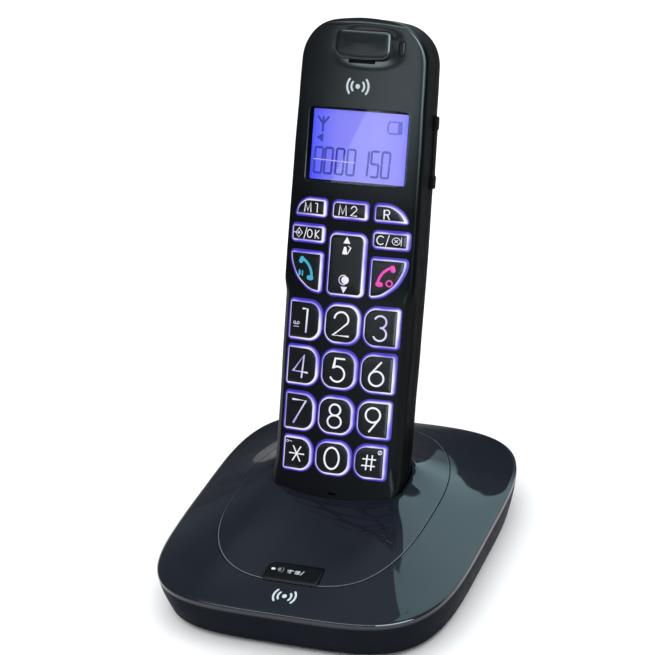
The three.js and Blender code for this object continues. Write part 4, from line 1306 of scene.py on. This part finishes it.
def cradle():
    insert = mesh_object("cradle", *base_form(0), place=BASE_PLACE)
    combine(insert, base_form(BASE_WALL))
    combine(insert, prism(seam_outline(-SEAM_GAP), 8, 60, "z"), "INTERSECT")
    turn = BASE_PLACE.inverted() @ HANDSET_PLACE
    to_metres = Matrix.Scale(MM, 4)
    to_base = to_metres.inverted() @ turn @ to_metres

    def turned(shape):
        points, faces = shape
        return [to_base @ Vector(p) for p in points], faces

    outside = prism(pocket_section(CUP["room"] + CUP["wall"]), CUP["outside"], CUP["outside_top"], "z")
    cup = mesh_object("cup", *turned(outside), place=BASE_PLACE)
    combine(cup, base_form(0.9), "INTERSECT")
    points = [v.co / MM for v in cup.data.vertices]
    faces = [tuple(p.vertices) for p in cup.data.polygons]
    bpy.data.objects.remove(cup)
    combine(insert, (points, faces), "UNION")
    inside = prism(pocket_section(CUP["room"]), CUP["inside"], CUP["inside_top"], "z")
    combine(insert, turned(inside))
    combine(insert, prism(page_outline(PAGE_GAP), 10, 40, "z"))
    contacts = [box_outline("base_charge_contact_" + side, 0.25, axes="xy") for side in ("left", "right")]
    combine(insert, turned(merged([prism(outline, 18, 30, "z") for outline in contacts])))
    settle(insert, "base", MATERIALS["base"], ["cradle_insert"])


dome = mesh_object("dome", *base_form(0), place=BASE_PLACE)
dome_tree = BVHTree.FromObject(dome, bpy.context.evaluated_depsgraph_get())
bpy.data.objects.remove(dome)


def dome_height(x, y):
    """The base's top surface over a point, in millimetres."""
    hit = dome_tree.ray_cast(Vector((x, y, 60)) * MM, Vector((0, 0, -1)))[0]
    return hit.z / MM


def lay_on_dome(p, height):
    return (p.x, p.y, dome_height(p.x, p.y) + height)


def seam_highlight_bead():
    """The fine bevelled edge of the cradle insert along the seam, made as a thin bead. Its light colour is a
    painted highlight for the light that this bevel catches.
    """
    half, flatness, sides = 0.2, 0.6, 6
    loops = []
    for k in range(sides):
        angle = 2 * math.pi * k / sides
        outline = seam_outline(-SEAM_GAP - half + half * math.cos(angle))
        rise = 0.02 + half * flatness * math.sin(angle)
        loops.append([(q.x, q.y, seam_point(a).z + rise) for q, a in zip(outline, ring_angles)])
    add("seam_highlight_bead", closed_tube(loops), "base", "edge", sharp=80, place=BASE_PLACE)


def page_button():
    low, high = local_box("page_button", BASE_PLACE)
    outline = page_outline(0)

    def lay(p, height):
        """On a plane that is level with the dome at the tile's back and slopes less than the dome does."""
        back = dome_height(p.x, high.y) + 0.15
        return (p.x, p.y, back - (high.y - p.y) * 0.1 + height)

    def on_tile(name, shape, material, stands_for=(), sharp=32):
        add(name, shape, "page_button", material, stands_for, sharp, BASE_PLACE)

    levels = [(0, -5), (0, -0.35), (0.12, -0.1), (0.4, 0)]
    on_tile("page_tile", pillow(outline, levels, lay, 4), "tile", stands_for=["page_button"], sharp=40)

    led_low, led_high = local_box("page_led_lens", BASE_PLACE)
    x, y = (led_low.x + led_high.x) / 2, (led_low.y + led_high.y) / 2
    dot = pillow(ellipse(x, y, 0.75, 0.6, 20), [(0, -0.5), (0, 0.03), (0.2, 0.12)], lay, 1)
    on_tile("page_lamp", dot, "lamp", ["page_led_lens"], 60)

    speaker = [(-0.9, 0.2), (0.1, -1.1), (0.6, -0.4), (0.5, 0.9), (-0.1, 1.1)]
    waves = [plate([Vector((x + 2.3, y)) + Vector(p) for p in speaker], lay, 0.03)]
    waves += drawn([arc(0, 0, 1.6, -50, 50, count=8)], x + 2.2, y, 1.0, 0.3, lay)
    on_tile("page_wave_symbol", merged(waves), "print_grey")
    marks = drawn([
        [(-2.2, 0.5), (-0.9, 0.8), (0.2, 0.5)], [(-0.9, 0.8), (-0.9, -0.9)], [(-1.9, -0.4), (-1.2, -0.1)],
        [CLOSED, (1.0, -0.8), (2.6, -0.8), (2.6, 0.7), (1.0, 0.7)],
        [CLOSED] + loop_path(1.8, 0, 0.35, 0.35, 10), [(3.3, -1.0), (4.0, 1.0)],
    ], x + 7.4, y - 0.3, 0.95, 0.3, lay)
    on_tile("page_symbols", merged(marks), "print")


MARK = {"dot": 0.85, "radii": (2.4, 4.0), "half_angle": 38, "width": 0.75, "relief": 0.04}


def wireless_mark(name, body, x, z, place, lay):
    """A plain wireless symbol: a dot with two arcs on each side."""
    solids = [plate(ellipse(x, z, MARK["dot"], MARK["dot"], 20), lay, MARK["relief"])]
    for side in (0, 180):
        for radius in MARK["radii"]:
            path = arc(x, z, radius, side - MARK["half_angle"], side + MARK["half_angle"], count=10)
            solids.append(stroke(path, MARK["width"], lay, MARK["relief"]))
    add(name, merged(solids), body, "print", place=place)


# ---------------------------------------------------------------- the CAD pieces that stay


def dress_frame():
    finishes = {
        "steel": ["handset_screw_", "base_screw_"],
        "contact": ["handset_charge_contact_", "base_charge_contact_", "battery_spring_contact",
                    "battery_flat_contact"],
        "rubber": ["rubber_foot_"],
        "board": ["handset_circuit_board", "base_circuit_board"],
        "silicone": ["keypad_mat"],
        "sleeve": ["battery_cell_"],
        "socket": ["line_jack", "dc_jack", "earpiece_speaker", "handsfree_speaker", "microphone"],
        "base": ["base_bottom_cover"],
    }
    for finish, starts in finishes.items():
        for name, node in frame["nodes"].items():
            if name.startswith(tuple(starts)):
                node.data.materials.clear()
                node.data.materials.append(MATERIALS[finish])


# ---------------------------------------------------------------- the stage


def studio_floor():
    paint = Paint("floor")
    pale = paint.ramp(paint.noise(3, 2), [(0.3, (0.92, 0.91, 0.905)), (0.7, (0.94, 0.93, 0.925))])
    paint.link(pale, "Base Color")
    paint.set(Roughness=0.9, Specular_IOR_Level=0.1)
    size = 40000
    corners = [(-size, -size, 0), (size, -size, 0), (size, size, 0), (-size, size, 0)]
    floor = mesh_object("floor", corners, [(0, 1, 2, 3)])
    floor.data.materials.append(paint.material)


PANEL_DISTANCE = 3000


def glowing_panel(name, middle_of_view, corners, colour, strength):
    """A softbox far from the object, which shows in its gloss only.

    Its corners are (azimuth from +Y towards +X, elevation) in degrees, seen from a point on the object.
    """
    paint = Paint(name)
    paint.link(paint.ramp(paint.noise(0.6, 1), [(0.3, colour), (0.7, colour)]), "Emission Color")
    paint.set(Base_Color=(0, 0, 0, 1), Emission_Strength=strength, Specular_IOR_Level=0)
    outline = []
    for a, b in zip(corners, corners[1:] + corners[:1]):
        pieces = max(1, math.ceil(math.dist(a, b) / 3))
        outline += [Vector((*a, 0)).lerp(Vector((*b, 0)), i / pieces) for i in range(pieces)]
    faces = tessellate_polygon([outline])
    points = []
    for p in outline:
        a, e = math.radians(p.x), math.radians(p.y)
        away = Vector((math.sin(a) * math.cos(e), math.cos(a) * math.cos(e), math.sin(e)))
        points.append(middle_of_view + away * PANEL_DISTANCE)
    panel = mesh_object(name, points, faces)
    panel.data.materials.append(paint.material)
    panel.visible_diffuse = False
    panel.visible_camera = False


SKY_COLOUR = (0.7, 0.87, 1.0, 1)
SKY_STRENGTH = [(0.77, 0.15), (0.88, 0.42)]  # by the height of the direction looked in
SUN_STRENGTH = 4.1
SUN_SPREAD = math.radians(120)


def sky():
    """Dim low down and brighter overhead, so that upright faces stay dark."""
    world = bpy.data.worlds.new("studio")
    world.use_nodes = True
    nodes, links = world.node_tree.nodes, world.node_tree.links
    nodes["Background"].inputs["Color"].default_value = SKY_COLOUR
    height = nodes.new("ShaderNodeSeparateXYZ")
    links.new(nodes.new("ShaderNodeTexCoord").outputs["Generated"], height.inputs["Vector"])
    ramp = nodes.new("ShaderNodeValToRGB")
    ramp.color_ramp.interpolation = "EASE"
    for element, (position, grey) in zip(ramp.color_ramp.elements, SKY_STRENGTH):
        element.position = position
        element.color = (grey, grey, grey, 1)
    links.new(height.outputs["Z"], ramp.inputs["Fac"])
    links.new(ramp.outputs["Color"], nodes["Background"].inputs["Strength"])
    scene.world = world


def sun():
    """A very wide light from overhead, which doesn't show in the gloss."""
    light = bpy.data.lights.new("top_light", "SUN")
    light.energy = SUN_STRENGTH
    light.angle = SUN_SPREAD
    lamp = bpy.data.objects.new("top_light", light)
    lamp.visible_glossy = False
    scene.collection.objects.link(lamp)


def softboxes():
    # The side panel's left edge is what draws the sharp bright shape on the base.
    side = [
        (-9, 8), (-4, 14), (3.5, 20.8), (5.9, 25.3), (6.6, 28.1), (9.5, 30.9), (9, 38), (-2, 44),
        (-12.6, 46.5), (1.5, 49.1), (3.9, 49.9), (4.3, 52.8), (3.5, 56.1), (1.7, 58.6), (-2.8, 61.9),
        (-9.0, 62.6), (-9.6, 65.5), (0, 78), (60, 78), (60, 5),
    ]
    base_top = BASE_PLACE @ Vector((0, 0, 0.02)) / MM
    glowing_panel("side_panel", base_top, side, (0.62, 0.93, 1.0), 1.95)
    # The front panel's slanting edge is what draws the glare across the display.
    low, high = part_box("display_window")
    display_middle = (low + high) / 2 / MM
    front = [
        (-138, 16.4), (-143.8, 18.8), (-148.4, 20.7), (-151.8, 22.0), (-155.2, 23.2), (-158.8, 24.4),
        (-162.4, 25.5), (-167.2, 26.8), (-183, 30.6), (-183, 16.4),
    ]
    glowing_panel("front_panel", display_middle, front, (0.8, 0.92, 1.0), 2.2)
    corner = [(-194, 12), (-194, 52), (-250, 52), (-250, 12)]
    glowing_panel("corner_panel", display_middle, corner, (0.7, 0.93, 1.0), 13)
    strip = [(-120, 50), (-120, 62), (-200, 62), (-200, 50)]
    glowing_panel("rim_strip", base_top, strip, (0.75, 0.95, 1.0), 6)


CAMERA_RIGHT = Vector((0.934819, 0.346709, -0.076850))
CAMERA_UP = Vector((-0.102208, 0.469921, 0.876771))
CAMERA_BACK = Vector((0.340099, -0.811768, 0.474727))
CAMERA_PLACE = Vector((288.46, -684.93, 493.88))  # from the middle of the base, on the table
CAMERA_LENS = 132.8


def camera():
    data = bpy.data.cameras.new("camera")
    data.lens = CAMERA_LENS
    data.sensor_width = 36
    data.clip_start = 0.05
    data.clip_end = 50
    eye = bpy.data.objects.new("camera", data)
    scene.collection.objects.link(eye)
    turn = Matrix((CAMERA_RIGHT, CAMERA_UP, CAMERA_BACK)).transposed().to_4x4()
    eye.matrix_world = BASE_PLACE @ Matrix.Translation(CAMERA_PLACE * MM) @ turn
    scene.camera = eye


# ---------------------------------------------------------------- build

camera()
front_cover()
rear_cover()
for node in KEYS:
    key(node)
keypad_light()
number_legends()
function_legends()
navigation_legend()
call_legends()
display()
display_figures()
window_frame()
earpiece()
volume_rocker()
battery_door()
top_cover()
cradle()
seam_highlight_bead()
page_button()
wireless_mark("handset_mark", "handset", -0.6, 177.9, HANDSET_PLACE, lay_on_front)
wireless_mark("base_mark", "base", 0.5, -57.5, BASE_PLACE, lay_on_dome)
dress_frame()
studio_floor()
sky()
sun()
softboxes()
scene.view_settings.view_transform = "Standard"
